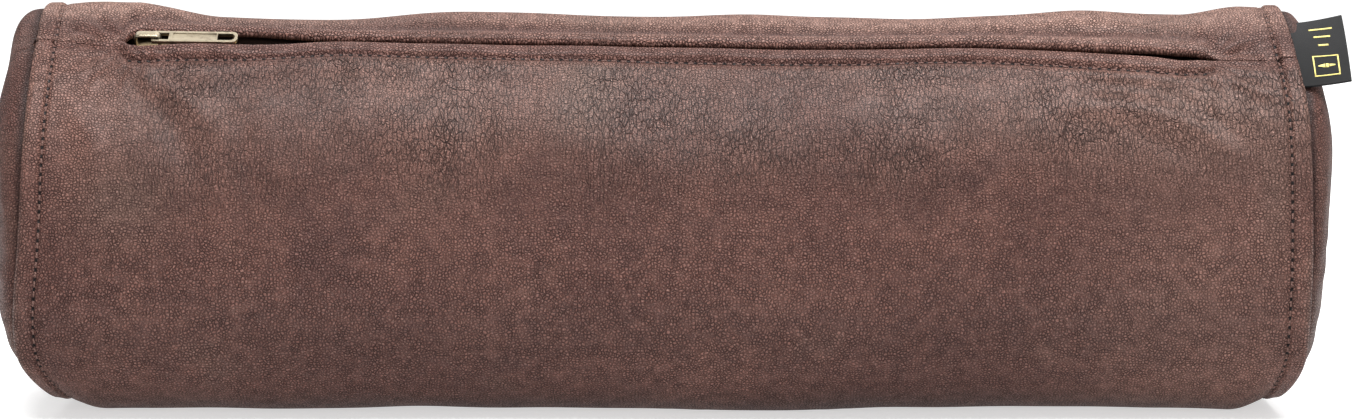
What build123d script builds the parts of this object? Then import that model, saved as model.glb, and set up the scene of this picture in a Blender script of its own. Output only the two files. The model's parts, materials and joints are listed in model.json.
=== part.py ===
from build123d import *

import os
from math import acos, cos, degrees, radians, sin, sqrt

# Leather barrel case with a zipped mouth, in millimetres. +X runs along the case, -Y is its front
# and +Z is up. The origin is the middle of the flat underside. The outline is a loaf: a flat
# underside, two lower corners, two long sides and a crown, all tangent. A place on it is given as
# an arc length from the zip line, positive down the front and negative over the top, with an inset
# measured inwards from the outer face of the leather.

os.makedirs("parts", exist_ok=True)

# Overall sizes
seam_length = 410.0  # from one end seam to the other
height = 125.0
half_depth = 67.0
corner_radius = 36.0  # the lower corners, where the case sags onto what it lies on
crown_radius = 48.0
zip_lean = 33.0  # degrees from the top of the crown forward to the zip line
zip_skew = 8.0  # how far the zip line comes forward from the left end of the mouth to the right
dome_rise = 13.0  # how far each end panel stands out
dome_middle_z = 70.0

# Leather, lining and the gaps between layers
leather = 1.6
turned_edge = 0.8  # extra thickness of a turned edge along the mouth
turned_width = 9.0
lining = 0.7
layer_gap = 0.3
clearance = 0.3  # between pieces that move past each other

# End seams
ridge_width = 5.5
ridge_rise = 1.5
rim_width = 7.5  # the end panel's edge, turned in under the main panel
end_leather = 1.4
label_thickness = 0.7
label_start, label_stop = -17.0, 13.0  # along the outline
label_reach = 17.0
label_tail = 5.0

# The mouth: two lips, each hinged along its far edge
mouth_from_seam = 26.5  # from each end seam to the end of the mouth
front_lip_height = 30.0
back_lip_height = 28.0
bail_side_room = 0.5  # from the bail to the lips it slides between
pull_side_room = 0.6  # from the pull to the lips beside it
pull_end_room = 3.4  # the slot stays wide this far past the pull
slider_end_room = 9.5  # and this far past the slider at its other end
lip_cut = 8.0  # how far each lip is made past the zip line before its edge is cut

# Zip
teeth_from_slider = 1.5  # from the resting slider to the first tooth
fixed_teeth_past_pull = 4.4  # the teeth under the pull, and this far past it, stay with the case
tooth_pitch = 2.3
tooth_length = 1.2
tooth_inner, tooth_outer = 0.8, 3.05
tooth_thickness = 2.3
tape_thickness = 0.7
tape_past_slider = 0.7  # the tape stays level this far past the slider
tape_rise_length = 3.2
tape_under_lining = 2.2
tape_drop = 0.2  # below the lining it is sewn to
lining_from_turned_edge = 1.9
tape_end_length = 29.0
stop_length = 1.6
bottom_stop_length = 2.6

# Slider and pull
slider_length = 12.5
slider_to_mouth_end = 4.5
slider_plate = 1.2
slider_flange = 1.1
tooth_side_room = 0.45  # from the teeth to the slider's flanges
post_half_width = 0.5
post_length = 3.0
bail_half_width = 1.4
bail_length = 8.8
bail_wall = 1.0
bail_height = 2.6
bail_from_slider_end = 2.9
bail_top_corner = 2.2
pivot_from_right_leg = 1.2
pull_length = 27.85
pull_half_width = 2.7
pull_thickness = 1.2
pull_arm = 1.0
pull_bar = 1.3
pull_eye_length = 4.15
pull_window_length = 5.5
pull_window_end = 1.0
pull_panel_length = 14.2
pull_near_corner = 0.6
pull_far_corner = 2.0
pull_panel_depth = 0.3
pull_lift = 0.3  # above the leather

# Stitches
stitch_pitch = 3.1
stitch_length = 2.3
stitch_width = 0.6
stitch_rise = 0.35
stitch_gap = 0.02
end_stitch_from_ridge = 0.8
lip_stitch_from_edge = 6.0

# Places that follow from the sizes above
half_seam = seam_length / 2
mouth_length = seam_length - 2 * mouth_from_seam
half_mouth = mouth_length / 2
slot_half_width = bail_half_width + bail_side_room
end_slot_half_width = pull_half_width + pull_side_room  # wider where the pull lies
slider_half_width = tooth_outer + tooth_side_room + slider_flange
slider_middle = -(half_mouth - slider_to_mouth_end - slider_length / 2)  # along X, at rest
bail_right = slider_middle + slider_length / 2 - bail_from_slider_end
bail_left = bail_right - bail_length
pivot_x = bail_right - bail_wall - pivot_from_right_leg
pivot_n = pull_lift + pull_thickness / 2
pull_left = pivot_x - pull_bar / 2
pull_right = pull_left + pull_length
wide_slot_left = pull_right + pull_end_room + half_mouth
wide_slot_right = slider_to_mouth_end + slider_length + slider_end_room
half_teeth = half_mouth - slider_to_mouth_end - slider_length - teeth_from_slider
fixed_teeth_end = pull_right + fixed_teeth_past_pull
tape_level_end = slider_half_width + tape_past_slider
tape_join = tape_level_end + tape_rise_length
lining_start = slot_half_width + turned_width + lining_from_turned_edge
tape_edge = lining_start + tape_under_lining

# ---------------------------------------------------------------- outline of the loaf

crown_middle_z = height - crown_radius
crown_rise = crown_middle_z - corner_radius
crown_run = half_depth - crown_radius
side_reach = (crown_run**2 + crown_rise**2) / (2 * crown_run)
side_radius = side_reach + crown_radius
shoulder = degrees(acos((side_reach - crown_run) / side_reach))
flat_half = half_depth - corner_radius
side_middle = side_radius - half_depth
zip_angle = 90 + zip_lean

# Each arc: the centre's y and z, the radius and its first and last angle. Angles are those of the
# outward normal from +Y towards +Z, and grow from the crown down the front and round underneath.
ARCS = [
    (0, crown_middle_z, crown_radius, shoulder, 180 - shoulder),
    (side_middle, corner_radius, side_radius, 180 - shoulder, 180),
    (-flat_half, corner_radius, corner_radius, 180, 270),
    None,  # the flat underside
    (flat_half, corner_radius, corner_radius, 270, 360),
    (-side_middle, corner_radius, side_radius, 360, 360 + shoulder),
]


def run_length(arc):
    """Length of one run of the outline, on the outer face."""
    if arc is None:
        return 2 * flat_half
    return arc[2] * radians(arc[4] - arc[3])


perimeter = sum(run_length(arc) for arc in ARCS)


def length_to_zip():
    """Arc length from the start of the crown to the zip line."""
    travelled = 0
    for arc in ARCS:
        if arc is not None and arc[3] <= zip_angle <= arc[4]:
            return travelled + arc[2] * radians(zip_angle - arc[3])
        travelled += run_length(arc)


zip_start = length_to_zip()


def breaks():
    """Arc lengths from the zip line at which one run of the outline meets the next."""
    places = []
    travelled = -zip_start
    for arc in ARCS:
        places.append(travelled)
        travelled += run_length(arc)
    return places


def at(along, inset=0.0):
    """Point of the outline at an arc length from the zip line, as y, z and the normal's angle."""
    left = (along + zip_start) % perimeter
    for arc in ARCS:
        if left <= run_length(arc) or arc is ARCS[-1]:
            break
        left -= run_length(arc)
    if arc is None:
        return -flat_half + left, inset, 270.0
    angle = arc[3] + degrees(left / arc[2])
    reach = arc[2] - inset
    return arc[0] + reach * cos(radians(angle)), arc[1] + reach * sin(radians(angle)), angle


def curve(start, stop, inset, x, share=1.0):
    """Edges of the outline between two arc lengths, in the plane x.

    share shrinks them about the dome's middle.
    """

    def point(along):
        y, z, _ = at(along, inset)
        return (x, y * share, dome_middle_z + (z - dome_middle_z) * share)

    cuts = {start, stop}
    for turn in (-1, 0, 1):
        for place in breaks():
            if start + 0.001 < place + turn * perimeter < stop - 0.001:
                cuts.add(place + turn * perimeter)
    places = sorted(cuts)
    edges = []
    for first, last in zip(places, places[1:]):
        middle = (first + last) / 2
        if at(middle)[2] == 270.0:
            edges.append(Line(point(first), point(last)))
        else:
            edges.append(ThreePointArc(point(first), point(middle), point(last)))
    return edges


def outline(inset, x, share=1.0):
    """The whole outline as a closed wire."""
    return Wire(curve(-zip_start, perimeter - zip_start, inset, x, share))


def filled(wire, length):
    """A prism along +X on a closed wire."""
    return extrude(Face(wire), amount=length, dir=(1, 0, 0))


def ring(outer, inner, x0, x1):
    """A closed band of the outline between two insets and two places along X."""
    return filled(outline(outer, x0), x1 - x0) - filled(outline(inner, x0), x1 - x0)


def strip(start, stop, outer, inner, x0, x1):
    """An open band of the outline between two arc lengths, two insets and two places along X."""
    outside = curve(start, stop, outer, x0)
    inside = curve(start, stop, inner, x0)
    ends = [Line(outside[0] @ 0, inside[0] @ 0), Line(outside[-1] @ 1, inside[-1] @ 1)]
    return filled(Wire([*outside, *inside, *ends]), x1 - x0)


# ---------------------------------------------------------------- the zip's own frame

zip_y, zip_z, _ = at(0)
zip_normal = (0, cos(radians(zip_angle)), sin(radians(zip_angle)))
zip_slope = zip_skew / mouth_length
# one step along X takes the zip line this far along Y and Z
zip_run = (1, -zip_slope * zip_normal[2], zip_slope * zip_normal[1])
# x along the zip, y towards the back, z out of the leather
zip_plane = Plane(origin=(0, zip_y, zip_z), x_dir=zip_run, z_dir=zip_normal)


def slab(x0, x1, w0, w1, n0, n1):
    """A box in the zip's frame, between two places on each of its axes."""
    block = Box(x1 - x0, w1 - w0, n1 - n0)
    return zip_plane * Pos((x0 + x1) / 2, (w0 + w1) / 2, (n0 + n1) / 2) * block


def in_zip(w, n):
    """World y and z of a point of the zip's frame, level with the middle of the case."""
    y = zip_y + w * zip_normal[2] + n * zip_normal[1]
    z = zip_z - w * zip_normal[1] + n * zip_normal[2]
    return y, z


lip_inset = leather + turned_edge
under_lip_radius = crown_radius - lip_inset
widest_under_lip = slider_half_width + zip_skew / 2
under_lip_drop = under_lip_radius - sqrt(under_lip_radius**2 - widest_under_lip**2)
plate_top = -(lip_inset + under_lip_drop + clearance)
plate_under = plate_top - slider_plate
teeth_top = plate_under - clearance
teeth_middle = teeth_top - tooth_thickness / 2
teeth_under = teeth_top - tooth_thickness
lower_plate_top = teeth_under - clearance
lower_plate_under = lower_plate_top - slider_plate

# ---------------------------------------------------------------- leather

hinge_radius = leather / 2
lining_outer = leather + layer_gap
lining_inner = lining_outer + lining
rim_outer = leather + layer_gap / 2 + label_thickness + layer_gap / 2
rim_inner = rim_outer + end_leather
on_floor = (Align.CENTER, Align.CENTER, Align.MIN)
above_floor = Box(2 * seam_length, 8 * half_depth, 4 * height, align=on_floor)


def make_main_panel():
    """The leather wrapped round the case, closed beyond the mouth, with a turned ridge at each end."""
    window = strip(
        -back_lip_height - hinge_radius - clearance,
        front_lip_height + hinge_radius + clearance,
        -leather,
        2 * leather,
        -half_mouth - clearance,
        half_mouth + clearance,
    )
    panel = ring(0, leather, -half_seam, half_seam) - window
    ridge = ring(-ridge_rise, leather / 2, half_seam - ridge_width, half_seam) & above_floor
    return panel + ridge + mirror(ridge, about=Plane.YZ)


def dome(inset, rise):
    """The space under a domed end, standing out of the right end seam."""
    steps = (0, 22.5, 45, 67.5, 82)
    sections = [
        outline(inset, half_seam + rise * sin(radians(a)), cos(radians(a))) for a in steps
    ]
    return loft([Face(section) for section in sections])


def make_end_panel():
    """The right end panel: a domed skin with its edge turned in under the main panel."""
    skin = dome(rim_outer, dome_rise) - dome(rim_inner, dome_rise - end_leather)
    return skin + ring(rim_outer, rim_inner, half_seam - rim_width, half_seam)


def make_main_lining():
    """The lining of the wrapped panel, open along the zip and where the lips carry their own."""
    lining_end = half_seam - rim_width - clearance
    skin = ring(lining_outer, lining_inner, -lining_end, lining_end)
    slot_end = half_teeth + tape_end_length
    zip_slot = strip(-lining_start, lining_start, 0, 3 * lining_inner, -slot_end, slot_end)
    window = strip(
        -back_lip_height - clearance,
        front_lip_height + clearance,
        0,
        3 * lining_inner,
        -half_teeth - clearance,
        half_teeth + clearance,
    )
    return skin - zip_slot - window


def make_end_lining():
    """The right end's lining, a flat disc inside the end panel's rim."""
    return filled(outline(rim_inner + clearance, half_seam - lining), lining)


def make_lip(side):
    """The front lip for side 1 and the back lip for side -1, with its turned edge and rolled hinge."""
    lip_height = front_lip_height if side > 0 else back_lip_height
    overlap = -side * lip_cut

    def layer(outer, inner, far):
        start, stop = sorted((overlap, side * far))
        return strip(start, stop, outer, inner, -half_mouth, half_mouth)

    def behind_edge(x0, x1, half_width):
        """What lies past the lip's edge, between two places along the zip."""
        w0, w1 = sorted((-side * half_width, side * 3 * lip_cut))
        return slab(x0, x1, w0, w1, -lip_cut, lip_cut)

    body = layer(0, leather, lip_height)
    body += layer(leather / 2, lip_inset, slot_half_width + turned_width)
    body -= behind_edge(-mouth_length, mouth_length, slot_half_width)
    body -= behind_edge(-mouth_length, -half_mouth + wide_slot_left, end_slot_half_width)
    body -= behind_edge(half_mouth - wide_slot_right, mouth_length, end_slot_half_width)
    y, z, _ = at(side * lip_height, hinge_radius)
    roll = Pos(0, y, z) * Rot(0, 90, 0) * Cylinder(hinge_radius, mouth_length)
    return body + roll


def make_lip_lining(side):
    """The lining behind one lip, from the tape to just short of the lip's hinge."""
    far = (front_lip_height if side > 0 else back_lip_height) - clearance
    start, stop = sorted((side * lining_start, side * far))
    return strip(start, stop, lining_outer, lining_inner, -half_teeth, half_teeth)


def make_label():
    """The woven label caught in the right end seam, level with the zip."""
    outer = leather + layer_gap / 2
    start = half_seam - label_tail
    stop = half_seam + label_reach
    return strip(label_start, label_stop, outer, outer + label_thickness, start, stop)


# ---------------------------------------------------------------- zip


def make_tape(side, x0, x1):
    """One zip tape: level beside the teeth, then up to lie under the lining at its sewn edge."""
    level_top = teeth_middle + tape_thickness / 2
    level_under = teeth_middle - tape_thickness / 2
    tape_outer = lining_inner + tape_drop
    tape_inner = tape_outer + tape_thickness
    near = tooth_outer + layer_gap / 3

    def section(x):
        """The tape's cross-section at a place along the case, where the skewed zip line has moved on."""
        moved = x * zip_slope
        points = [
            in_zip(-side * near - moved, level_top),
            in_zip(-side * tape_level_end - moved, level_top),
            at(side * tape_join + moved, tape_outer)[:2],
            at(side * tape_edge + moved, tape_outer)[:2],
            at(side * tape_edge + moved, tape_inner)[:2],
            at(side * tape_join + moved, tape_inner)[:2],
            in_zip(-side * tape_level_end - moved, level_under),
            in_zip(-side * near - moved, level_under),
        ]
        return Face(Wire(Polyline(*[(x, y, z) for y, z in points], close=True)))

    return loft([section(x0), section(x1)], ruled=True)


def make_teeth(side, x0, x1):
    """One row of teeth between two places along the zip. The two rows are half a pitch apart."""
    w0, w1 = sorted((-side * tooth_inner, -side * tooth_outer))
    row = []
    half = tooth_length / 2
    for i in range(int(2 * half_teeth / tooth_pitch)):
        x = -half_teeth + (i + 0.5 + side / 4) * tooth_pitch
        if x0 <= x - half and x + half <= x1:
            row.append(slab(x - half, x + half, w0, w1, teeth_under, teeth_top))
    return row


def make_top_stops():
    """The two crimped stops at the slider's closed end, one on each tape."""
    stop_right = slider_middle - slider_length / 2 - clearance
    stops = []
    for side in (1, -1):
        w0, w1 = sorted((-side * tooth_inner, -side * tooth_outer))
        stops.append(slab(stop_right - stop_length, stop_right, w0, w1, teeth_under, teeth_top))
    return stops


def make_bottom_stop():
    """The stop across both tapes at the other end of the slider's travel."""
    x0 = -slider_middle + slider_length / 2 + clearance
    x1 = x0 + bottom_stop_length
    return slab(x0, x1, -tooth_outer, tooth_outer, teeth_under, teeth_top)


def make_slider():
    """The slider: two plates with turned flanges, joined by the post that parts the teeth."""
    x0 = slider_middle - slider_length / 2
    x1 = slider_middle + slider_length / 2
    wide = slider_half_width
    upper = slab(x0, x1, -wide, wide, plate_under, plate_top)
    lower = slab(x0, x1, -wide, wide, lower_plate_under, lower_plate_top)
    corners = upper.edges().filter_by(lambda e: abs(e.length - slider_plate) < 0.01)
    upper = fillet(corners, slider_flange)
    corners = lower.edges().filter_by(lambda e: abs(e.length - slider_plate) < 0.01)
    lower = fillet(corners, slider_flange)
    post_right = x0 + post_length
    body = upper + lower
    body += slab(x0, post_right, -post_half_width, post_half_width, lower_plate_top, plate_under)
    tape_room = tape_thickness / 2 + clearance
    for side in (1, -1):
        w0, w1 = sorted((side * wide, side * (wide - slider_flange)))
        x2, x3 = x0 + slider_flange, x1 - slider_flange
        body += slab(x2, x3, w0, w1, teeth_middle + tape_room, plate_under)
        body += slab(x2, x3, w0, w1, lower_plate_top, teeth_middle - tape_room)
    return body


def make_bail():
    """The arch on the slider's upper plate that holds the pull."""
    arch = slab(bail_left, bail_right, -bail_half_width, bail_half_width, plate_top, bail_height)
    across = arch.edges().filter_by(lambda e: abs(e.length - 2 * bail_half_width) < 0.01)
    upper = across.sort_by(lambda e: (e.center() - zip_plane.origin).dot(Vector(*zip_normal)))[-2:]
    arch = fillet(upper, bail_top_corner)
    hollow = slab(
        bail_left + bail_wall,
        bail_right - bail_wall,
        -2 * bail_half_width,
        2 * bail_half_width,
        plate_top - 1,
        bail_height - bail_wall,
    )
    return arch - hollow


def make_pull():
    """The pull: a bar through the bail, two arms, a sunk panel and a window at its round end."""
    x0, x1 = pull_left, pull_right
    wide = pull_half_width
    low, high = pull_lift, pull_lift + pull_thickness
    plate = slab(x0, x1, -wide, wide, low, high)
    uprights = plate.edges().filter_by(lambda e: abs(e.length - pull_thickness) < 0.01)
    uprights = uprights.sort_by(lambda e: e.center().X)
    plate = fillet(uprights[:2], pull_near_corner)
    uprights = plate.edges().filter_by(lambda e: abs(e.length - pull_thickness) < 0.01)
    plate = fillet(uprights.sort_by(lambda e: e.center().X)[-2:], pull_far_corner)
    hole = wide - pull_arm
    eye_start = x0 + pull_bar
    plate -= slab(x0 - 1, eye_start + pull_eye_length, -hole, hole, low - 1, high + 1)
    bar = Pos(pivot_x, 0, pivot_n) * Rot(90, 0, 0) * Cylinder(pull_thickness / 2, 2 * wide - pull_arm)
    plate += zip_plane * bar
    window_stop = x1 - pull_window_end
    window = slab(window_stop - pull_window_length, window_stop, -hole, hole, low - 1, high + 1)
    tall = window.edges().filter_by(lambda e: abs(e.length - pull_thickness - 2) < 0.01)
    window = fillet(tall.sort_by(lambda e: e.center().X)[-2:], pull_far_corner - pull_arm + 0.4)
    panel_start = eye_start + pull_eye_length + pull_bar
    panel_stop = panel_start + pull_panel_length
    panel = slab(panel_start, panel_stop, -hole, hole, high - pull_panel_depth, high + 1)
    return plate - window - panel


# ---------------------------------------------------------------- stitches


def make_end_stitches():
    """Stitches round the right end seam, beside the ridge. The flat underside hides its own."""
    x = half_seam - ridge_width - end_stitch_from_ridge
    count = round(perimeter / stitch_pitch)
    stitches = []
    for i in range(count):
        along = i * perimeter / count
        y, z, angle = at(along, -stitch_gap)
        if at(along, -stitch_rise)[1] < 2 * stitch_rise:
            continue
        normal = (0, cos(radians(angle)), sin(radians(angle)))
        tangent = (0, -sin(radians(angle)), cos(radians(angle)))
        seat = Plane(origin=(x, y, z), x_dir=tangent, z_dir=normal)
        stitches.append(seat * Box(stitch_length, stitch_width, stitch_rise, align=on_floor))
    return stitches


def make_lip_stitches():
    """The row of stitches along the front lip."""
    count = int(mouth_length / stitch_pitch)
    stitches = []
    for i in range(count):
        x = (i - (count - 1) / 2) * stitch_pitch
        y, z, angle = at(slot_half_width + lip_stitch_from_edge + x * zip_slope, -stitch_gap)
        normal = (0, cos(radians(angle)), sin(radians(angle)))
        seat = Plane(origin=(x, y, z), x_dir=zip_run, z_dir=normal)
        stitches.append(seat * Box(stitch_length, stitch_width, stitch_rise, align=on_floor))
    return stitches


# ---------------------------------------------------------------- all the pieces


def mirrored(piece):
    """The same piece at the other end of the case."""
    if isinstance(piece, list):
        return [mirror(solid, about=Plane.YZ) for solid in piece]
    return mirror(piece, about=Plane.YZ)


end_panel = make_end_panel()
end_lining = make_end_lining()
end_stitches = make_end_stitches()
tape_ends_from, tape_ends_to = half_teeth + 2 * clearance, half_teeth + tape_end_length
fixed_to = fixed_teeth_end - clearance
moving_from = fixed_teeth_end + clearance

pieces = {
    "main_panel": make_main_panel(),
    "end_panel_right": end_panel,
    "end_panel_left": mirrored(end_panel),
    "main_lining": make_main_lining(),
    "end_lining_right": end_lining,
    "end_lining_left": mirrored(end_lining),
    "end_stitches_right": end_stitches,
    "end_stitches_left": mirrored(end_stitches),
    "label": make_label(),
    "zip_top_stops": make_top_stops(),
    "zip_bottom_stop": make_bottom_stop(),
    "zip_tape_ends_right": [make_tape(side, tape_ends_from, tape_ends_to) for side in (1, -1)],
    "zip_tape_ends_left": [make_tape(side, -tape_ends_to, fixed_to) for side in (1, -1)],
    "zip_teeth_left": make_teeth(1, -half_teeth, fixed_to) + make_teeth(-1, -half_teeth, fixed_to),
    "front_lip": make_lip(1),
    "front_lip_lining": make_lip_lining(1),
    "front_lip_stitches": make_lip_stitches(),
    "zip_tape_front": make_tape(1, moving_from, half_teeth),
    "zip_teeth_front": make_teeth(1, moving_from, half_teeth),
    "back_lip": make_lip(-1),
    "back_lip_lining": make_lip_lining(-1),
    "zip_tape_back": make_tape(-1, moving_from, half_teeth),
    "zip_teeth_back": make_teeth(-1, moving_from, half_teeth),
    "slider_body": make_slider(),
    "slider_bail": make_bail(),
    "pull_tab": make_pull(),
}

for name, piece in pieces.items():
    solids = piece if isinstance(piece, list) else piece.solids()
    export_step(Compound([s for one in solids for s in one.solids()]), f"parts/{name}.step")

front_hinge = at(front_lip_height, hinge_radius)
back_hinge = at(-back_lip_height, hinge_radius)
pivot = zip_plane.from_local_coords((pivot_x, 0, pivot_n))
print(f"front hinge y {front_hinge[0]:.4f} z {front_hinge[1]:.4f}")
print(f"back hinge y {back_hinge[0]:.4f} z {back_hinge[1]:.4f}")
print("slider travel", -2 * slider_middle, "along", zip_plane.x_dir)
print("pull pivot at", pivot, "about", -zip_plane.y_dir)
print(f"zip line y {zip_y:.4f} z {zip_z:.4f}, perimeter {perimeter:.2f}")
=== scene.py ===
"""Looks of a long leather brush case with a zipped mouth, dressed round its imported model."""

import json
import logging
import math
from dataclasses import dataclass, field
from enum import Enum
from functools import partial
from typing import Callable, ClassVar, Sequence

import bmesh
import bpy
import numpy as np
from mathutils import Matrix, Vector


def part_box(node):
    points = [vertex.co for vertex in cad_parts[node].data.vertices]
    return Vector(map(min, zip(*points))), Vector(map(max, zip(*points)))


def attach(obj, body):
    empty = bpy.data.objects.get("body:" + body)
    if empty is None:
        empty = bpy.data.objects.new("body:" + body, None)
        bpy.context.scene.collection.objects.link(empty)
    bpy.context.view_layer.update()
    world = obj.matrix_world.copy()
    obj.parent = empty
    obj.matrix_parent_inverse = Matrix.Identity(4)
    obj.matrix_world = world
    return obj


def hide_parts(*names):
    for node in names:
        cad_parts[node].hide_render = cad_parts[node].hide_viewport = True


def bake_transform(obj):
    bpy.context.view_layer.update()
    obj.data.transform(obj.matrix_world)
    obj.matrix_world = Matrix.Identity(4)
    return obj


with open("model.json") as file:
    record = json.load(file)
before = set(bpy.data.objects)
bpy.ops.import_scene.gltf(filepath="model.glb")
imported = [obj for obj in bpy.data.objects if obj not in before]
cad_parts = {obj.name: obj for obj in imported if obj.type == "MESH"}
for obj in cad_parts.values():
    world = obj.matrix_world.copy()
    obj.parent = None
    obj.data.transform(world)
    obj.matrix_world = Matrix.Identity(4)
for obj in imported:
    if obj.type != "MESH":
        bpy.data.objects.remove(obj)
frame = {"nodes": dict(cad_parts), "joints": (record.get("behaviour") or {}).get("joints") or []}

log = logging.getLogger("brush_case")
Array = np.ndarray
Place = tuple[float, float, float]
Colour = tuple[float, float, float]
MM = 0.001
STITCH_PITCH = 3.1 * MM
# A point of the line along the middle of the case, which every wall faces away from.
CORE = np.array([0.0, 0.0, 60.0 * MM])


class Side(Enum):
    """Which lip of the mouth a piece belongs to, with the sign of its arc length from the zip."""

    FRONT = 1
    BACK = -1

    @property
    def body(self) -> str:
        """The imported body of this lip."""
        return "front_mouth" if self is Side.FRONT else "back_mouth"

    @property
    def word(self) -> str:
        """The side's name in lower case."""
        return self.name.lower()


class Half(Enum):
    """Which half of the case along its length a piece belongs to."""

    LEFT = -1
    RIGHT = 1

    @property
    def word(self) -> str:
        """The half's name in lower case."""
        return self.name.lower()


# ------------------------------------------------------------------ shader graphs


class Socket:
    """A shader value that takes part in Python expressions."""

    def __init__(self, graph: "Graph", socket: bpy.types.NodeSocket) -> None:
        """Keeps the graph and the output socket that carries the value."""
        self.graph = graph
        self.socket = socket

    def _with(self, operation: str, other: "Number", swapped: bool = False) -> "Socket":
        """Adds a Math node.

        Args:
            operation: the node's operation.
            other: the second value.
            swapped: puts the other value first.

        Returns:
            The node's value.
        """
        pair = (other, self) if swapped else (self, other)
        return self.graph.add("ShaderNodeMath", {"operation": operation}, {0: pair[0], 1: pair[1]})

    def __add__(self, other: "Number") -> "Socket":
        """Sum."""
        return self._with("ADD", other)

    __radd__ = __add__

    def __mul__(self, other: "Number") -> "Socket":
        """Product."""
        return self._with("MULTIPLY", other)

    __rmul__ = __mul__

    def __sub__(self, other: "Number") -> "Socket":
        """Difference."""
        return self._with("SUBTRACT", other)

    def __rsub__(self, other: "Number") -> "Socket":
        """Difference from a number."""
        return self._with("SUBTRACT", other, swapped=True)

    def most(self, other: "Number") -> "Socket":
        """The larger of two values."""
        return self._with("MAXIMUM", other)

    def cosine(self) -> "Socket":
        """The cosine of the value in radians."""
        return self._with("COSINE", 0.0)

    def step(self, low: float, high: float) -> "Socket":
        """Rises smoothly from 0 at low to 1 at high, or falls if high is the smaller.

        Args:
            low: the value where the change starts.
            high: the value where it ends.

        Returns:
            The step, from 0 to 1.
        """
        settings = {"interpolation_type": "SMOOTHSTEP", "clamp": True}
        ends = (low, high, 0.0, 1.0) if low < high else (high, low, 1.0, 0.0)
        inputs = {"Value": self, **dict(zip(("From Min", "From Max", "To Min", "To Max"), ends))}
        return self.graph.add("ShaderNodeMapRange", settings, inputs)


Number = Socket | float


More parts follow.
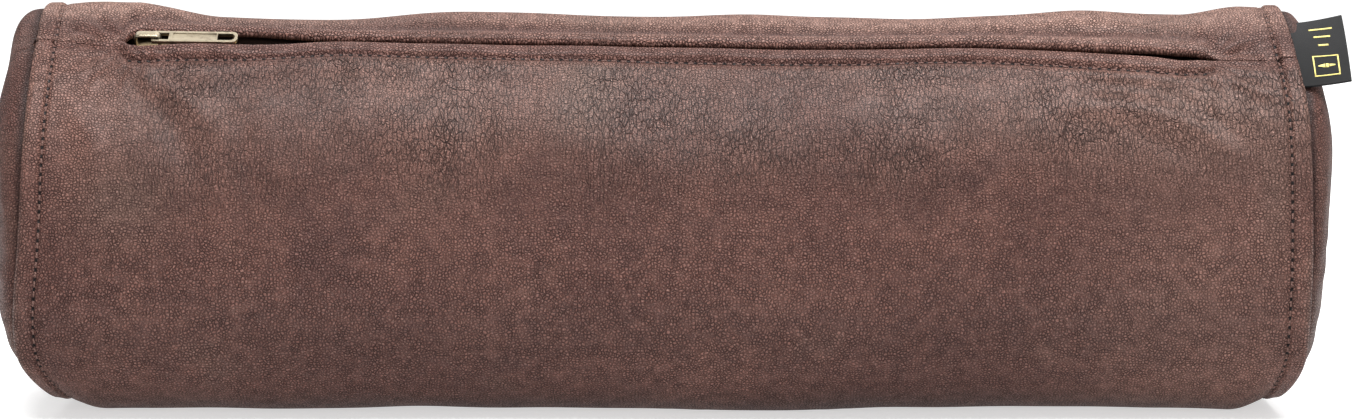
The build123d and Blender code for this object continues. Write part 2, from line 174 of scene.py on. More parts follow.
class Graph:
    """A material and the nodes that make it."""

    def __init__(self, name: str) -> None:
        """Makes an empty material of that name.

        Args:
            name: the material's name.
        """
        self.material = bpy.data.materials.new(name)
        self.material.use_nodes = True
        self.material.node_tree.nodes.clear()

    def add(
        self,
        kind: str,
        settings: dict[str, object] | None = None,
        inputs: dict[int | str, object] | None = None,
        output: int | str = 0,
    ) -> Socket:
        """Adds a node.

        Args:
            kind: the node's type.
            settings: attributes, set before the sockets.
            inputs: values or sockets by the name or place of the input.
            output: which output to return.

        Returns:
            The chosen output.
        """
        node = self.material.node_tree.nodes.new(kind)
        for name, value in (settings or {}).items():
            setattr(node, name, value)
        for name, value in (inputs or {}).items():
            if isinstance(value, Socket):
                self.material.node_tree.links.new(value.socket, node.inputs[name])
            elif value is not None:
                wanted = node.inputs[name]
                is_rgb = wanted.type == "RGBA" and len(value) == 3
                wanted.default_value = (*value, 1.0) if is_rgb else value
        return Socket(self, node.outputs[output])

    def flat(self, scale: tuple[float, float] = (1.0, 1.0), turn: float = 0.0) -> Socket:
        """Coordinates laid out on the unrolled piece, in metres, times a scale and turned in degrees.

        Args:
            scale: the scale of each coordinate.
            turn: the turn in degrees.

        Returns:
            The coordinates.
        """
        uv = self.add("ShaderNodeUVMap", {"uv_map": "Flat"})
        inputs = {"Vector": uv, "Scale": (*scale, 1.0), "Rotation": (0.0, 0.0, math.radians(turn))}
        return self.add("ShaderNodeMapping", {"vector_type": "POINT"}, inputs)

    def solid(self, scale: tuple[float, float, float] = (1.0, 1.0, 1.0)) -> Socket:
        """Object coordinates in metres, times a scale."""
        place = self.add("ShaderNodeTexCoord", output="Object")
        return self.add("ShaderNodeMapping", {"vector_type": "POINT"}, {"Vector": place, "Scale": scale})

    def stored(self, name: str) -> Socket:
        """A value stored on the piece's vertices."""
        return self.add("ShaderNodeAttribute", {"attribute_name": name}, output="Fac")

    def noise(self, vector: Socket, scale: float, detail: float = 2.0, roughness: float = 0.5) -> Socket:
        """Cloudy noise from 0 to 1."""
        inputs = {"Vector": vector, "Scale": scale, "Detail": detail, "Roughness": roughness}
        return self.add("ShaderNodeTexNoise", {}, inputs)

    def part(self, vector: Socket, axis: int) -> Socket:
        """One of a vector's three parts."""
        return self.add("ShaderNodeSeparateXYZ", {}, {0: vector}, axis)

    def cells(self, vector: Socket, scale: float) -> Socket:
        """Cells of leather grain: the distance to the nearest edge."""
        settings = {"feature": "DISTANCE_TO_EDGE", "voronoi_dimensions": "2D"}
        return self.add("ShaderNodeTexVoronoi", settings, {"Vector": vector, "Scale": scale}, "Distance")

    def warped(self, vector: Socket, scale: float, reach: float) -> Socket:
        """The vector, pushed about by noise up to a reach.

        Args:
            vector: the coordinates.
            scale: the noise's scale.
            reach: how far it pushes, in metres.

        Returns:
            The pushed coordinates.
        """
        inputs = {"Vector": vector, "Scale": scale, "Detail": 1.0}
        cloud = self.add("ShaderNodeTexNoise", {}, inputs, "Color")
        middle = self.add("ShaderNodeVectorMath", {"operation": "SUBTRACT"}, {0: cloud, 1: (0.5, 0.5, 0.5)})
        push = self.add("ShaderNodeVectorMath", {"operation": "SCALE"}, {0: middle, "Scale": reach})
        return self.add("ShaderNodeVectorMath", {"operation": "ADD"}, {0: vector, 1: push})

    def mix(self, factor: Number, a: Socket | Colour, b: Socket | Colour) -> Socket:
        """Mixes two colours by a factor."""
        settings = {"data_type": "RGBA", "blend_type": "MIX", "clamp_factor": True}
        return self.add("ShaderNodeMix", settings, {0: factor, 6: a, 7: b}, 2)

    def bump(self, height: Socket, strength: float, distance: float, under: Socket | None = None) -> Socket:
        """A normal raised by a height, on top of another bump if one is given."""
        inputs = {"Height": height, "Strength": strength, "Distance": distance, "Normal": under}
        return self.add("ShaderNodeBump", {}, inputs)

    def surface(self, **inputs: object) -> bpy.types.Material:
        """Ends the graph in a Principled shader.

        Args:
            **inputs: socket names, with underscores for spaces, and their values.

        Returns:
            The finished material.
        """
        named = {name.replace("_", " "): value for name, value in inputs.items()}
        shader = self.add("ShaderNodeBsdfPrincipled", {}, named)
        self.add_output(shader)
        return self.material

    def add_output(self, shader: Socket) -> None:
        """Joins a shader to the material's output."""
        node = self.material.node_tree.nodes.new("ShaderNodeOutputMaterial")
        self.material.node_tree.links.new(shader.socket, node.inputs["Surface"])


# ------------------------------------------------------------------ finishes


@dataclass(frozen=True)
class PullUpLeather:
    """Waxed brown leather: pebble grain, crackle where it bends, cloudy wax and wear, painted shade in its
    creases, pores, seams and needle holes, and a painted highlight on top.
    """

    name: str = "pull_up_leather"
    brown: Colour = (0.134, 0.055, 0.043)
    rose: Colour = (0.222, 0.100, 0.076)
    plum: Colour = (0.058, 0.021, 0.020)
    sage: Colour = (0.240, 0.165, 0.130)
    # Pale colour of the dusty bloom and of the painted highlight on top.
    dust: Colour = (0.400, 0.234, 0.184)
    fleck: Colour = (0.46, 0.280, 0.230)
    # Near-black brown of the painted shade in creases, pores and seams.
    crease: Colour = (0.025, 0.009, 0.007)
    hole_shade: Colour = (0.006, 0.003, 0.003)
    stitch_pitch: float = STITCH_PITCH

    def make(self) -> bpy.types.Material:
        """Builds the material from the piece's flat coordinates and stored masks.

        Returns:
            The finished material.
        """
        g = Graph(self.name)
        flat = g.flat()
        crackle = g.stored("crackle")
        broken = g.noise(flat, 120.0, 3.0).step(0.30, 0.62)
        tall = g.cells(g.warped(g.flat((1.0, 0.30)), 420.0, 0.0015), 860.0).step(0.0, 0.15)
        minor = g.cells(g.warped(g.flat((1.0, 0.55), 9.0), 500.0, 0.0012), 1450.0).step(0.0, 0.26)
        long = g.cells(g.warped(g.flat((1.0, 0.55), 14.0), 190.0, 0.0026), 380.0).step(0.005, 0.08)
        small = g.cells(g.warped(flat, 700.0, 0.0008), 1000.0).step(0.0, 0.38)
        patchy = g.noise(flat, 210.0, 3.0, 0.6).step(0.25, 0.66)
        net = (1.0 - tall).most((1.0 - long) * broken).most((1.0 - minor) * 0.50)
        creases = (net * crackle * (0.62 + 0.38 * broken)).most(self.fan(g))
        pits = (1.0 - small) * (1.0 - crackle * 0.80) * (0.50 + 0.50 * patchy)
        speck = g.noise(flat, 1500.0, 3.0, 0.7)

        clouds = g.noise(flat, 12.0, 5.0, 0.62)
        drift = g.noise(g.warped(flat, 9.0, 0.05), 24.0, 4.0, 0.6)
        mottle = g.noise(flat, 130.0, 5.0, 0.68)
        tone = g.mix(clouds.step(0.38, 0.70), self.brown, self.rose)
        tone = g.mix(drift.step(0.52, 0.78) * 0.80, tone, self.plum)
        wax = g.stored("wax")
        tone = g.mix((g.noise(flat, 30.0, 3.0).step(0.58, 0.80) * 0.28).most(wax), tone, self.sage)
        tone = g.mix(mottle.step(0.30, 0.78) * 0.50, tone, self.plum)
        # Dusty bloom and painted highlight: the top, the upper front and the right end are lightened.
        tone = g.mix(g.stored("bloom") * (0.72 + 0.28 * clouds), tone, self.dust)
        tone = g.mix(g.stored("worn") * (0.40 + 0.60 * speck), tone, self.rose)
        tone = g.mix(speck.step(0.48, 0.72) * (0.40 + 0.40 * crackle), tone, self.fleck)
        # Painted shade: the grain's pores and creases are darkened towards the near-black crease colour.
        tone = g.mix(pits * 0.90, tone, self.crease)
        tone = g.mix(creases * 0.80, tone, self.crease)
        # Painted shade in the closed seams, the grooves and the valley behind the mouth.
        tone = g.mix(g.stored("crevice"), tone, self.crease)
        # Painted shade in the needle holes.
        tone = g.mix(self.holes(g), tone, self.hole_shade)

        height = small * 0.50 + speck * 0.55 + tall * crackle * 0.8 - creases * 1.3
        grain = g.bump(height, 1.0, 0.00130)
        soft = g.bump(g.noise(flat, 60.0, 4.0), 0.45, 0.0030, grain)
        rough = 0.46 + 0.16 * mottle + 0.16 * pits + 0.18 * creases - 0.06 * g.stored("worn")
        shine = (1.0 - creases) * (1.0 - pits) * (0.06 + 0.24 * mottle)
        return g.surface(
            Base_Color=tone,
            Roughness=rough,
            Normal=soft,
            Specular_IOR_Level=0.16,
            Coat_Weight=shine,
            Coat_Roughness=0.36,
        )

    def fan(self, g: Graph) -> Socket:
        """Fine creases that run out from the ends of the mouth, from their stored direction.

        Args:
            g: the leather's graph.

        Returns:
            How strong they are, from 0 to 1.
        """
        bend = g.noise(g.flat(), 260.0, 2.0) * 7.0
        lines = (g.stored("fan_turn") * 30.0 + bend).cosine().step(0.25, 0.85)
        return lines * g.stored("fan") * g.noise(g.flat(), 420.0, 2.0).step(0.30, 0.55) * 0.6

    def holes(self, g: Graph) -> Socket:
        """Painted shade of the needle holes between the stitches, from the stored distance off the stitch
        line.

        Args:
            g: the leather's graph.

        Returns:
            1 in a hole and 0 beside it.
        """
        off_line = g.stored("off_stitch").step(0.65 * MM, 0.25 * MM)
        beat = (g.stored("stitch_run") * (2 * math.pi / self.stitch_pitch)).cosine()
        return off_line * beat.step(0.10, 0.65)


@dataclass(frozen=True)
class AgedBrass:
    """Pale brass with soft scratches and a darker film in its hollows."""

    name: str
    bright: Colour
    film: Colour
    roughness: float
    grain: float = 900.0

    def make(self) -> bpy.types.Material:
        """Builds the metal on object coordinates.

        Returns:
            The finished material.
        """
        g = Graph(self.name)
        place = g.solid()
        film = g.noise(place, 420.0, 4.0, 0.6)
        scratch = g.noise(g.solid((1.0, 9.0, 9.0)), self.grain, 3.0, 0.7)
        tone = g.mix(film.step(0.45, 0.75) * 0.55, self.bright, self.film)
        rough = self.roughness + 0.16 * film + 0.10 * scratch
        normal = g.bump(scratch + film, 0.12, 0.00006)
        return g.surface(Base_Color=tone, Metallic=1.0, Roughness=rough, Normal=normal)


@dataclass(frozen=True)
class Weave:
    """A plain or ribbed woven cloth on flat coordinates."""

    name: str
    dark: Colour
    light: Colour
    threads_per_m: tuple[float, float]
    roughness: float = 0.85
    relief: float = 0.00012

    def make(self) -> bpy.types.Material:
        """Builds the cloth: two crossing sets of threads, unevenly dyed.

        Returns:
            The finished material.
        """
        g = Graph(self.name)
        place = g.warped(g.flat(), 300.0, 0.00015)
        warp, weft = (
            (g.part(place, axis) * (2 * math.pi * count)).cosine() * 0.5 + 0.5
            for axis, count in enumerate(self.threads_per_m)
        )
        cloth = warp * weft + (1.0 - warp) * (1.0 - weft)
        dye = g.noise(g.flat(), 45.0, 4.0, 0.6)
        lint = g.noise(g.flat(), 1500.0, 2.0)
        tone = g.mix(cloth * 0.6 + lint * 0.4, self.dark, self.light)
        tone = g.mix(dye.step(0.35, 0.8) * 0.5, tone, self.dark)
        normal = g.bump(cloth + lint * 0.5, 0.8, self.relief)
        rough = self.roughness + 0.1 * lint
        plain = {"Sheen_Weight": 0.04, "Specular_IOR_Level": 0.12}
        return g.surface(Base_Color=tone, Roughness=rough, Normal=normal, **plain)


@dataclass(frozen=True)
class TwistedThread:
    """Waxed sewing thread with a visible twist."""

    name: str
    dark: Colour
    light: Colour

    def make(self) -> bpy.types.Material:
        """Builds the thread: slanting plies on object coordinates.

        Returns:
            The finished material.
        """
        g = Graph(self.name)
        settings = {"bands_direction": "DIAGONAL"}
        twist = g.add("ShaderNodeTexWave", settings, {"Vector": g.solid(), "Scale": 620.0}, "Fac")
        fuzz = g.noise(g.solid(), 1800.0, 2.0)
        tone = g.mix(twist * 0.7 + fuzz * 0.3, self.dark, self.light)
        plain = {"Roughness": 0.55 + 0.2 * fuzz, "Specular_IOR_Level": 0.15}
        return g.surface(Base_Color=tone, Normal=g.bump(twist, 0.5, 0.00008), **plain)


LEATHER = PullUpLeather()
BRASS = AgedBrass("aged_brass", (0.56, 0.43, 0.26), (0.20, 0.13, 0.07), 0.26)
PULL_BRASS = AgedBrass("pull_brass", (0.30, 0.255, 0.185), (0.085, 0.062, 0.040), 0.22)
TEETH_BRASS = AgedBrass("teeth_brass", (0.50, 0.38, 0.22), (0.12, 0.08, 0.05), 0.32)
LINING = Weave("lining_cotton", (0.030, 0.022, 0.018), (0.085, 0.065, 0.052), (1400.0, 1400.0))
TAPE = Weave("tape_weave", (0.020, 0.012, 0.010), (0.070, 0.042, 0.034), (900.0, 1700.0))
LABEL = Weave("label_weave", (0.004, 0.004, 0.004), (0.015, 0.015, 0.016), (1100.0, 2600.0), 0.62)
MARK = Weave("mark_thread", (0.52, 0.42, 0.10), (0.82, 0.72, 0.30), (2600.0, 1300.0), 0.6)
THREAD = TwistedThread("waxed_thread", (0.075, 0.040, 0.034), (0.190, 0.110, 0.092))


# ------------------------------------------------------------------ shapes


def smoothstep(value: Array, low: float, high: float) -> Array:
    """0 below low, 1 above high and smooth between, or the reverse if high is the smaller."""
    t = np.clip((value - low) / (high - low), 0.0, 1.0)
    return t * t * (3.0 - 2.0 * t)


def hump(value: Array, middle: float, width: float) -> Array:
    """A smooth hump of height 1."""
    return np.exp(-(((value - middle) / width) ** 2))


@dataclass(frozen=True)
class Ripples:
    """Smooth uneven ripples: a sum of waves in fixed random directions."""

    seed: int
    wavelength: float
    stretch: float = 1.0
    waves: int = 9

    def __call__(self, x: Array, s: Array) -> Array:
        """The ripple at places on the unrolled skin, about -1 to 1.

        Args:
            x: places along the case, in metres.
            s: places round it, in metres.

        Returns:
            One value for each place.
        """
        rng = np.random.default_rng(self.seed)
        total = np.zeros(np.broadcast(x, s).shape)
        for _ in range(self.waves):
            angle, phase = rng.uniform(0.0, 2 * np.pi, 2)
            size = 2 * np.pi / (self.wavelength * rng.uniform(0.7, 1.6))
            along = x * size * np.cos(angle) / self.stretch
            total += np.sin(along + s * size * np.sin(angle) + phase)
        return total / math.sqrt(self.waves) * 0.7


@dataclass
class Outline:
    """The loaf-shaped cross-section, by arc length from the zip line, positive down the front."""

    half_depth: float
    height: float
    lean: float
    corner: float = 36.0 * MM
    crown: float = 48.0 * MM
    easing: float = 8.0 * MM
    perimeter: float = field(init=False)

    def __post_init__(self) -> None:
        """Works out the tangent arcs and where each starts."""
        rise = self.height - self.crown - self.corner
        run = self.half_depth - self.crown
        reach = (run**2 + rise**2) / (2 * run)
        side = reach + self.crown
        shoulder = math.acos((reach - run) / reach)
        flat = self.half_depth - self.corner
        off = side - self.half_depth
        pi = math.pi
        rows = [
            (0.0, self.height - self.crown, self.crown, shoulder, pi - 2 * shoulder),
            (off, self.corner, side, pi - shoulder, shoulder),
            (-flat, self.corner, self.corner, pi, pi / 2),
            (-flat, 0.0, 2 * flat, 1.5 * pi, 0.0),
            (flat, self.corner, self.corner, 1.5 * pi, pi / 2),
            (-off, self.corner, side, 2 * pi, shoulder),
        ]
        self._rows = np.array(rows)
        lengths = np.where(self._rows[:, 4] > 0, self._rows[:, 2] * self._rows[:, 4], self._rows[:, 2])
        self._starts = np.concatenate([[0.0], np.cumsum(lengths)])
        self.perimeter = float(self._starts[-1])
        angle = pi / 2 + self.lean
        row = 0 if angle <= pi - shoulder else 1
        self._zip = self._starts[row] + self._rows[row, 2] * (angle - self._rows[row, 3])

    def sharp(self, along: Array) -> tuple[Array, Array, Array]:
        """Point and normal's angle on the arcs, before easing.

        Args:
            along: arc lengths from the zip line, in metres.

        Returns:
            The points' y and z, and the angles of their normals.
        """
        left = np.mod(along + self._zip, self.perimeter)
        index = np.clip(np.searchsorted(self._starts, left, side="right") - 1, 0, len(self._rows) - 1)
        y0, z0, radius, start, turn = self._rows[index].T
        into = left - self._starts[index]
        is_flat = turn == 0.0
        angle = start + np.where(is_flat, 0.0, into / radius)
        y = np.where(is_flat, y0 + into, y0 + radius * np.cos(angle))
        z = np.where(is_flat, 0.0, z0 + radius * np.sin(angle))
        return y, z, angle

    def place(self, along: Array, inset: Array) -> tuple[Array, Array]:
        """Points inside the outline, with its changes of curvature eased.

        Args:
            along: arc lengths from the zip line, in metres.
            inset: depths inwards from the outer face, in metres.

        Returns:
            The points' y and z.
        """
        shape = np.broadcast(along, inset).shape
        along = np.broadcast_to(along, shape).ravel()
        inset = np.broadcast_to(inset, shape).ravel()
        y = z = ny = nz = np.zeros(len(along))
        steps = (-1.0, -0.5, 0.0, 0.5, 1.0)
        for step in steps:
            ys, zs, angle = self.sharp(along + step * self.easing)
            y, z = y + ys / len(steps), z + zs / len(steps)
            ny, nz = ny + np.cos(angle), nz + np.sin(angle)
        size = np.hypot(ny, nz)
        return (y - inset * ny / size).reshape(shape), (z - inset * nz / size).reshape(shape)

    @property
    def to_bottom(self) -> float:
        """Arc length from the zip line down the front to the middle of the underside."""
        return float(self._starts[3] + self._rows[3, 2] / 2 - self._zip)


# ------------------------------------------------------------------ mesh work


def only(piece: bpy.types.Object) -> None:
    """Makes a piece the active object and the only one selected.

    Args:
        piece: the piece.
    """
    bpy.ops.object.select_all(action="DESELECT")
    piece.hide_set(False)
    piece.select_set(True)
    bpy.context.view_layer.objects.active = piece


def coordinates(piece: bpy.types.Object) -> Array:
    """The places of a piece's vertices.

    Args:
        piece: the piece.

    Returns:
        One row of x, y and z for each vertex.
    """
    flat = np.zeros(len(piece.data.vertices) * 3)
    piece.data.vertices.foreach_get("co", flat)
    return flat.reshape(-1, 3)


def set_coordinates(piece: bpy.types.Object, places: Array) -> None:
    """Puts a piece's vertices at places."""
    piece.data.vertices.foreach_set("co", places.astype(np.float32).ravel())
    piece.data.update()


def store(piece: bpy.types.Object, name: str, values: Array, kind: str = "FLOAT") -> None:
    """Stores a value, or a vector, on each vertex.

    Args:
        piece: the piece.
        name: the attribute's name.
        values: one for each vertex.
        kind: FLOAT or FLOAT_VECTOR.
    """
    attribute = piece.data.attributes.new(name, kind, "POINT")
    field_name = "vector" if kind == "FLOAT_VECTOR" else "value"
    attribute.data.foreach_set(field_name, values.astype(np.float32).ravel())


def set_flat(piece: bpy.types.Object, u: Array, v: Array) -> None:
    """Gives a piece flat coordinates in metres, from a pair on each vertex.

    Args:
        piece: the piece.
        u: the first coordinate of each vertex.
        v: the second.
    """
    while piece.data.uv_layers:
        piece.data.uv_layers.remove(piece.data.uv_layers[0])
    layer = piece.data.uv_layers.new(name="Flat")
    corners = np.zeros(len(piece.data.loops), np.int64)
    piece.data.loops.foreach_get("vertex_index", corners)
    layer.data.foreach_set("uv", np.stack([u[corners], v[corners]], 1).astype(np.float32).ravel())


def modify(piece: bpy.types.Object, kind: str, **settings: object) -> None:
    """Adds a modifier and applies it.

    Args:
        piece: the piece.
        kind: the modifier's type.
        **settings: its settings.
    """
    only(piece)
    modifier = piece.modifiers.new(kind.lower(), kind)
    for name, value in settings.items():
        setattr(modifier, name, value)
    bpy.ops.object.modifier_apply(modifier=modifier.name)


def grid(name: str, columns: int, rows: int) -> tuple[bpy.types.Object, Array, Array]:
    """Adds a grid whose vertices are known by column and row.

    Args:
        name: the piece's name.
        columns: vertices across.
        rows: vertices down.

    Returns:
        The piece, and the column and the row of each vertex.
    """
    bpy.ops.object.select_all(action="DESELECT")
    bpy.ops.mesh.primitive_grid_add(x_subdivisions=columns - 1, y_subdivisions=rows - 1, size=1.0)
    piece = bpy.context.object
    piece.name = piece.data.name = name
    places = coordinates(piece)
    column = np.rint((places[:, 0] + 0.5) * (columns - 1)).astype(int)
    row = np.rint((places[:, 1] + 0.5) * (rows - 1)).astype(int)
    return piece, column, row


def point_away(piece: bpy.types.Object, inside: Array) -> None:
    """Turns a sheet's faces so that most of them point away from a point inside it.

    Args:
        piece: the sheet.
        inside: a point inside it.
    """
    mesh = piece.data
    normals = np.zeros(len(mesh.polygons) * 3)
    centres = np.zeros(len(mesh.polygons) * 3)
    mesh.polygons.foreach_get("normal", normals)
    mesh.polygons.foreach_get("center", centres)
    outward = (centres.reshape(-1, 3) - inside) * normals.reshape(-1, 3)
    if outward.sum() < 0:
        mesh.flip_normals()


def smooth(piece: bpy.types.Object, degrees: float | None = None) -> None:
    """Shades a piece smooth, all over or up to an angle.

    Args:
        piece: the piece.
        degrees: the angle past which an edge stays sharp.
    """
    only(piece)
    if degrees is None:
        bpy.ops.object.shade_smooth()
    else:
        bpy.ops.object.shade_smooth_by_angle(angle=math.radians(degrees))


def dress(piece: bpy.types.Object, material: bpy.types.Material) -> None:
    """Gives a piece its one material.

    Args:
        piece: the piece.
        material: its material.
    """
    piece.data.materials.clear()
    piece.data.materials.append(material)


def keep_half(piece: bpy.types.Object, half: Half) -> bpy.types.Object:
    """A copy of one half of a piece along the case, closed at the cut.

    Args:
        piece: the whole piece.
        half: the half to keep.

    Returns:
        The half.
    """
    only(piece)
    bpy.ops.object.duplicate()
    part = bpy.context.object
    part.name = part.data.name = f"{piece.name}_{half.word}"
    shell = bmesh.new()
    shell.from_mesh(part.data)
    away = [f for f in shell.faces if f.calc_center_median().x * half.value < 0]
    bmesh.ops.delete(shell, geom=away, context="FACES")
    on_cut = 0.01 * MM
    rim = [e for e in shell.edges if e.is_boundary and all(abs(v.co.x) < on_cut for v in e.verts)]
    bmesh.ops.holes_fill(shell, edges=rim, sides=0)
    shell.to_mesh(part.data)
    shell.free()
    return part


def keep_shading(piece: bpy.types.Object) -> None:
    """Stores each vertex's normal, for shade_as_whole.

    Args:
        piece: the piece.
    """
    normals = np.zeros(len(piece.data.vertices) * 3)
    piece.data.vertices.foreach_get("normal", normals)
    store(piece, "whole_normal", normals, "FLOAT_VECTOR")


def shade_as_whole(piece: bpy.types.Object) -> None:
    """Shades a part with the normals that the whole piece had.

    Args:
        piece: the part.
    """
    attribute = piece.data.attributes["whole_normal"]
    normals = np.zeros(len(piece.data.vertices) * 3, np.float32)
    attribute.data.foreach_get("vector", normals)
    piece.data.normals_split_custom_set_from_vertices(normals.reshape(-1, 3).tolist())
    piece.data.attributes.remove(piece.data.attributes["whole_normal"])


def thicken(piece: bpy.types.Object, thickness: float, offset: float = -1.0) -> None:
    """Gives a sheet its thickness, inwards unless the offset says otherwise."""
    modify(piece, "SOLIDIFY", thickness=thickness, offset=offset, use_rim=True)


def turn_out(piece: bpy.types.Object) -> None:
    """Turns a closed piece's faces outwards.

    Args:
        piece: the piece.
    """
    only(piece)
    bpy.ops.object.mode_set(mode="EDIT")
    bpy.ops.mesh.select_all(action="SELECT")
    bpy.ops.mesh.normals_make_consistent(inside=False)
    bpy.ops.object.mode_set(mode="OBJECT")


def copies(name: str, points: Array, faces: Sequence[tuple[int, ...]]) -> bpy.types.Object:
    """A piece made of copies of one modelled shape.

    Args:
        name: its name.
        points: the points of every copy, as copies by points by three.
        faces: the faces of one copy.

    Returns:
        The piece, with its faces outwards.
    """
    count, size = points.shape[:2]
    every = [tuple(v + k * size for v in f) for k in range(count) for f in faces]
    mesh = bpy.data.meshes.new(name)
    mesh.from_pydata(points.reshape(-1, 3).tolist(), [], every)
    piece = bpy.data.objects.new(name, mesh)
    bpy.context.scene.collection.objects.link(piece)
    turn_out(piece)
    return piece


# ------------------------------------------------------------------ the case's own geometry


@dataclass
class Case:
    """Sizes of the whole case and the shape of its skin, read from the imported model."""

    ridge_rise: float = 1.5 * MM
    half_mouth: float = 178.5 * MM
    skew: float = 8.0 * MM / (357.0 * MM)
    floor_gap: float = 0.15 * MM
    path_depth: float = 1.1 * MM
    path_width: float = 4.6 * MM
    end_lift: float = 4.0 * MM
    half_seam: float = field(init=False)
    outline: Outline = field(init=False)

    def __post_init__(self) -> None:
        """Reads the panel's box and the joints, and lays out the outline."""
        low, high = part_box("main_panel")
        self.half_seam = high.x
        joints = {j["name"]: j for j in frame["joints"]}
        slide = Vector(joints["slider_slide"]["axis"])
        self.forward = Vector(joints["pull_pivot"]["axis"]).normalized()
        self.out = slide.cross(self.forward).normalized()
        if self.out.z < 0:
            self.out.negate()
        self.run = slide.normalized()
        lean = math.atan2(-self.out.y, self.out.z)
        self.outline = Outline(high.y - self.ridge_rise, high.z - self.ridge_rise, lean)
        self.front_hinge = Vector(joints["front_mouth_open"]["pos_m"])
        self.back_hinge = Vector(joints["back_mouth_open"]["pos_m"])
        y, z = self.outline.sharp(np.array([0.0]))[:2]
        self.zip_middle = Vector((0.0, float(y[0]), float(z[0])))

    def centre_line(self, x: Array) -> Array:
        """Arc length of the slot's middle at places along the case, a little off the straight zip.

        Args:
            x: places along the case, in metres.

        Returns:
            The arc lengths, in metres.
        """
        off = 1.9 * smoothstep(x, -150.0 * MM, -176.0 * MM) - 1.5 * hump(x, -105.0 * MM, 26.0 * MM)
        off -= 0.8 * hump(x, -22.0 * MM, 40.0 * MM) + 2.2 * hump(x, 98.0 * MM, 38.0 * MM)
        return x * self.skew + MM * (off + 1.6 * smoothstep(x, 171.0 * MM, 181.0 * MM))

    def reach(self, side: Side) -> float:
        """Arc length from the zip line to the middle of the underside, on one side."""
        down_front = self.outline.to_bottom
        return down_front if side is Side.FRONT else self.outline.perimeter - down_front

    def sag(self, x: Array, s: Array) -> Array:
        """How far the skin stands out of the plain loaf, in metres.

        Args:
            x: places along the case, in metres.
            s: arc lengths from the zip line, in metres.

        Returns:
            One height for each place.
        """
        crown = hump(s, -30.0 * MM, 26.0 * MM)
        low_front = hump(s, 60.0 * MM, 45.0 * MM)
        swell = 4.1 * smoothstep(x, -147.0 * MM, -176.0 * MM) - 1.9 * hump(x, -112.0 * MM, 30.0 * MM)
        swell += 0.9 * hump(x, -66.0 * MM, 22.0 * MM) + 0.9 * hump(x, 24.0 * MM, 24.0 * MM)
        swell -= 0.8 * hump(x, 78.0 * MM, 22.0 * MM)
        swell += 1.9 * hump(x, 138.0 * MM, 20.0 * MM) + 3.3 * smoothstep(x, 170.0 * MM, 192.0 * MM)
        gentle = Ripples(4, 95.0 * MM, 1.6)(x, s) * 0.85 + Ripples(9, 34.0 * MM, 1.3)(x, s) * 0.34
        dips = 0.9 * low_front * hump(x, 40.0 * MM, 55.0 * MM)
        dips = dips - 1.1 * low_front * hump(x, -60.0 * MM, 30.0 * MM)
        near_zip = hump(s - self.centre_line(x), 0.0, 10.0 * MM)
        calm = (1.0 - 0.85 * near_zip) * (0.3 + 0.7 * smoothstep(np.abs(x), 203.0 * MM, 190.0 * MM))
        return MM * (swell * crown * (1.0 - 0.55 * near_zip) + (0.6 + gentle + dips) * calm)

    def wander(self, x: Array, s: Array) -> Array:
        """How far the end seams wander along the case, in metres.

        Args:
            x: places along the case, in metres.
            s: arc lengths from the zip line, in metres.

        Returns:
            One shift along X for each place.
        """
        near_left = smoothstep(x, -120.0 * MM, -198.0 * MM)
        near_right = smoothstep(x, 120.0 * MM, 198.0 * MM)
        round_s = np.where(s > self.outline.to_bottom, s - self.outline.perimeter, s)
        under = smoothstep(round_s, 106.0 * MM, 150.0 * MM) + smoothstep(-round_s, 160.0 * MM, 206.0 * MM)
        left = 5.5 * under - 2.2 * hump(s, 98.0 * MM, 24.0 * MM) - 0.9 * hump(s, -30.0 * MM, 26.0 * MM)
        right = 5.5 * under + 1.4 * hump(s, 104.0 * MM, 34.0 * MM) + 1.7 * hump(s, -24.0 * MM, 26.0 * MM)
        slight = 0.5 * Ripples(21, 70.0 * MM)(x, s)
        return MM * (near_left * (left + slight) - near_right * (right + slight))

    def skin(self, x: Array, s: Array, inset: Array) -> Array:
        """Points of the sagging skin, a little lower where the slider has room to pass the slot's end.

        Args:
            x: places along the case, in metres.
            s: arc lengths from the zip line, in metres.
            inset: depths below the outer face, in metres.

        Returns:
            One point for each place.
        """
        s = np.where(s > self.outline.to_bottom + 0.5 * MM, s - self.outline.perimeter, s)
        past_slider = smoothstep(x, 158.0 * MM, 168.0 * MM) * smoothstep(x, 202.0 * MM, 196.0 * MM)
        path = self.path_depth * past_slider * hump(s - x * self.skew, 0.0, self.path_width)
        y, z = self.outline.place(s, inset - self.sag(x, s) + path)
        z = np.maximum(z, self.floor_gap + np.maximum(inset, 0.0))
        by_end = smoothstep(np.abs(x), 187.0 * MM, 204.0 * MM)
        z = z + self.end_lift * by_end * smoothstep(z, 26.0 * MM, 2.0 * MM)
        return np.stack([x + self.wander(x, s), y, z], -1)

    def follow_mouth(self, piece: bpy.types.Object, side: Side, half: Half) -> None:
        """Bakes a piece's transform into its mesh.

        Args:
            piece: a piece of that half.
            side: not used.
            half: not used.
        """
        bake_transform(piece)

    def halve(
        self,
        whole: bpy.types.Object,
        side: Side,
        material: bpy.types.Material,
        nodes: dict[Half, tuple[str, ...]],
    ) -> None:
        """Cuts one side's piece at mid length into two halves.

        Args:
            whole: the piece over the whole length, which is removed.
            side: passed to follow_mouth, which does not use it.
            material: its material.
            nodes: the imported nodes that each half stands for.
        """
        keep_shading(whole)
        for half in Half:
            part = keep_half(whole, half)
            shade_as_whole(part)
            dress(part, material)
            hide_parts(*nodes[half])
            self.follow_mouth(part, side, half)
            log.info("%s: %d faces", part.name, len(part.data.polygons))
        bpy.data.objects.remove(whole)


case = Case()


# ------------------------------------------------------------------ leather


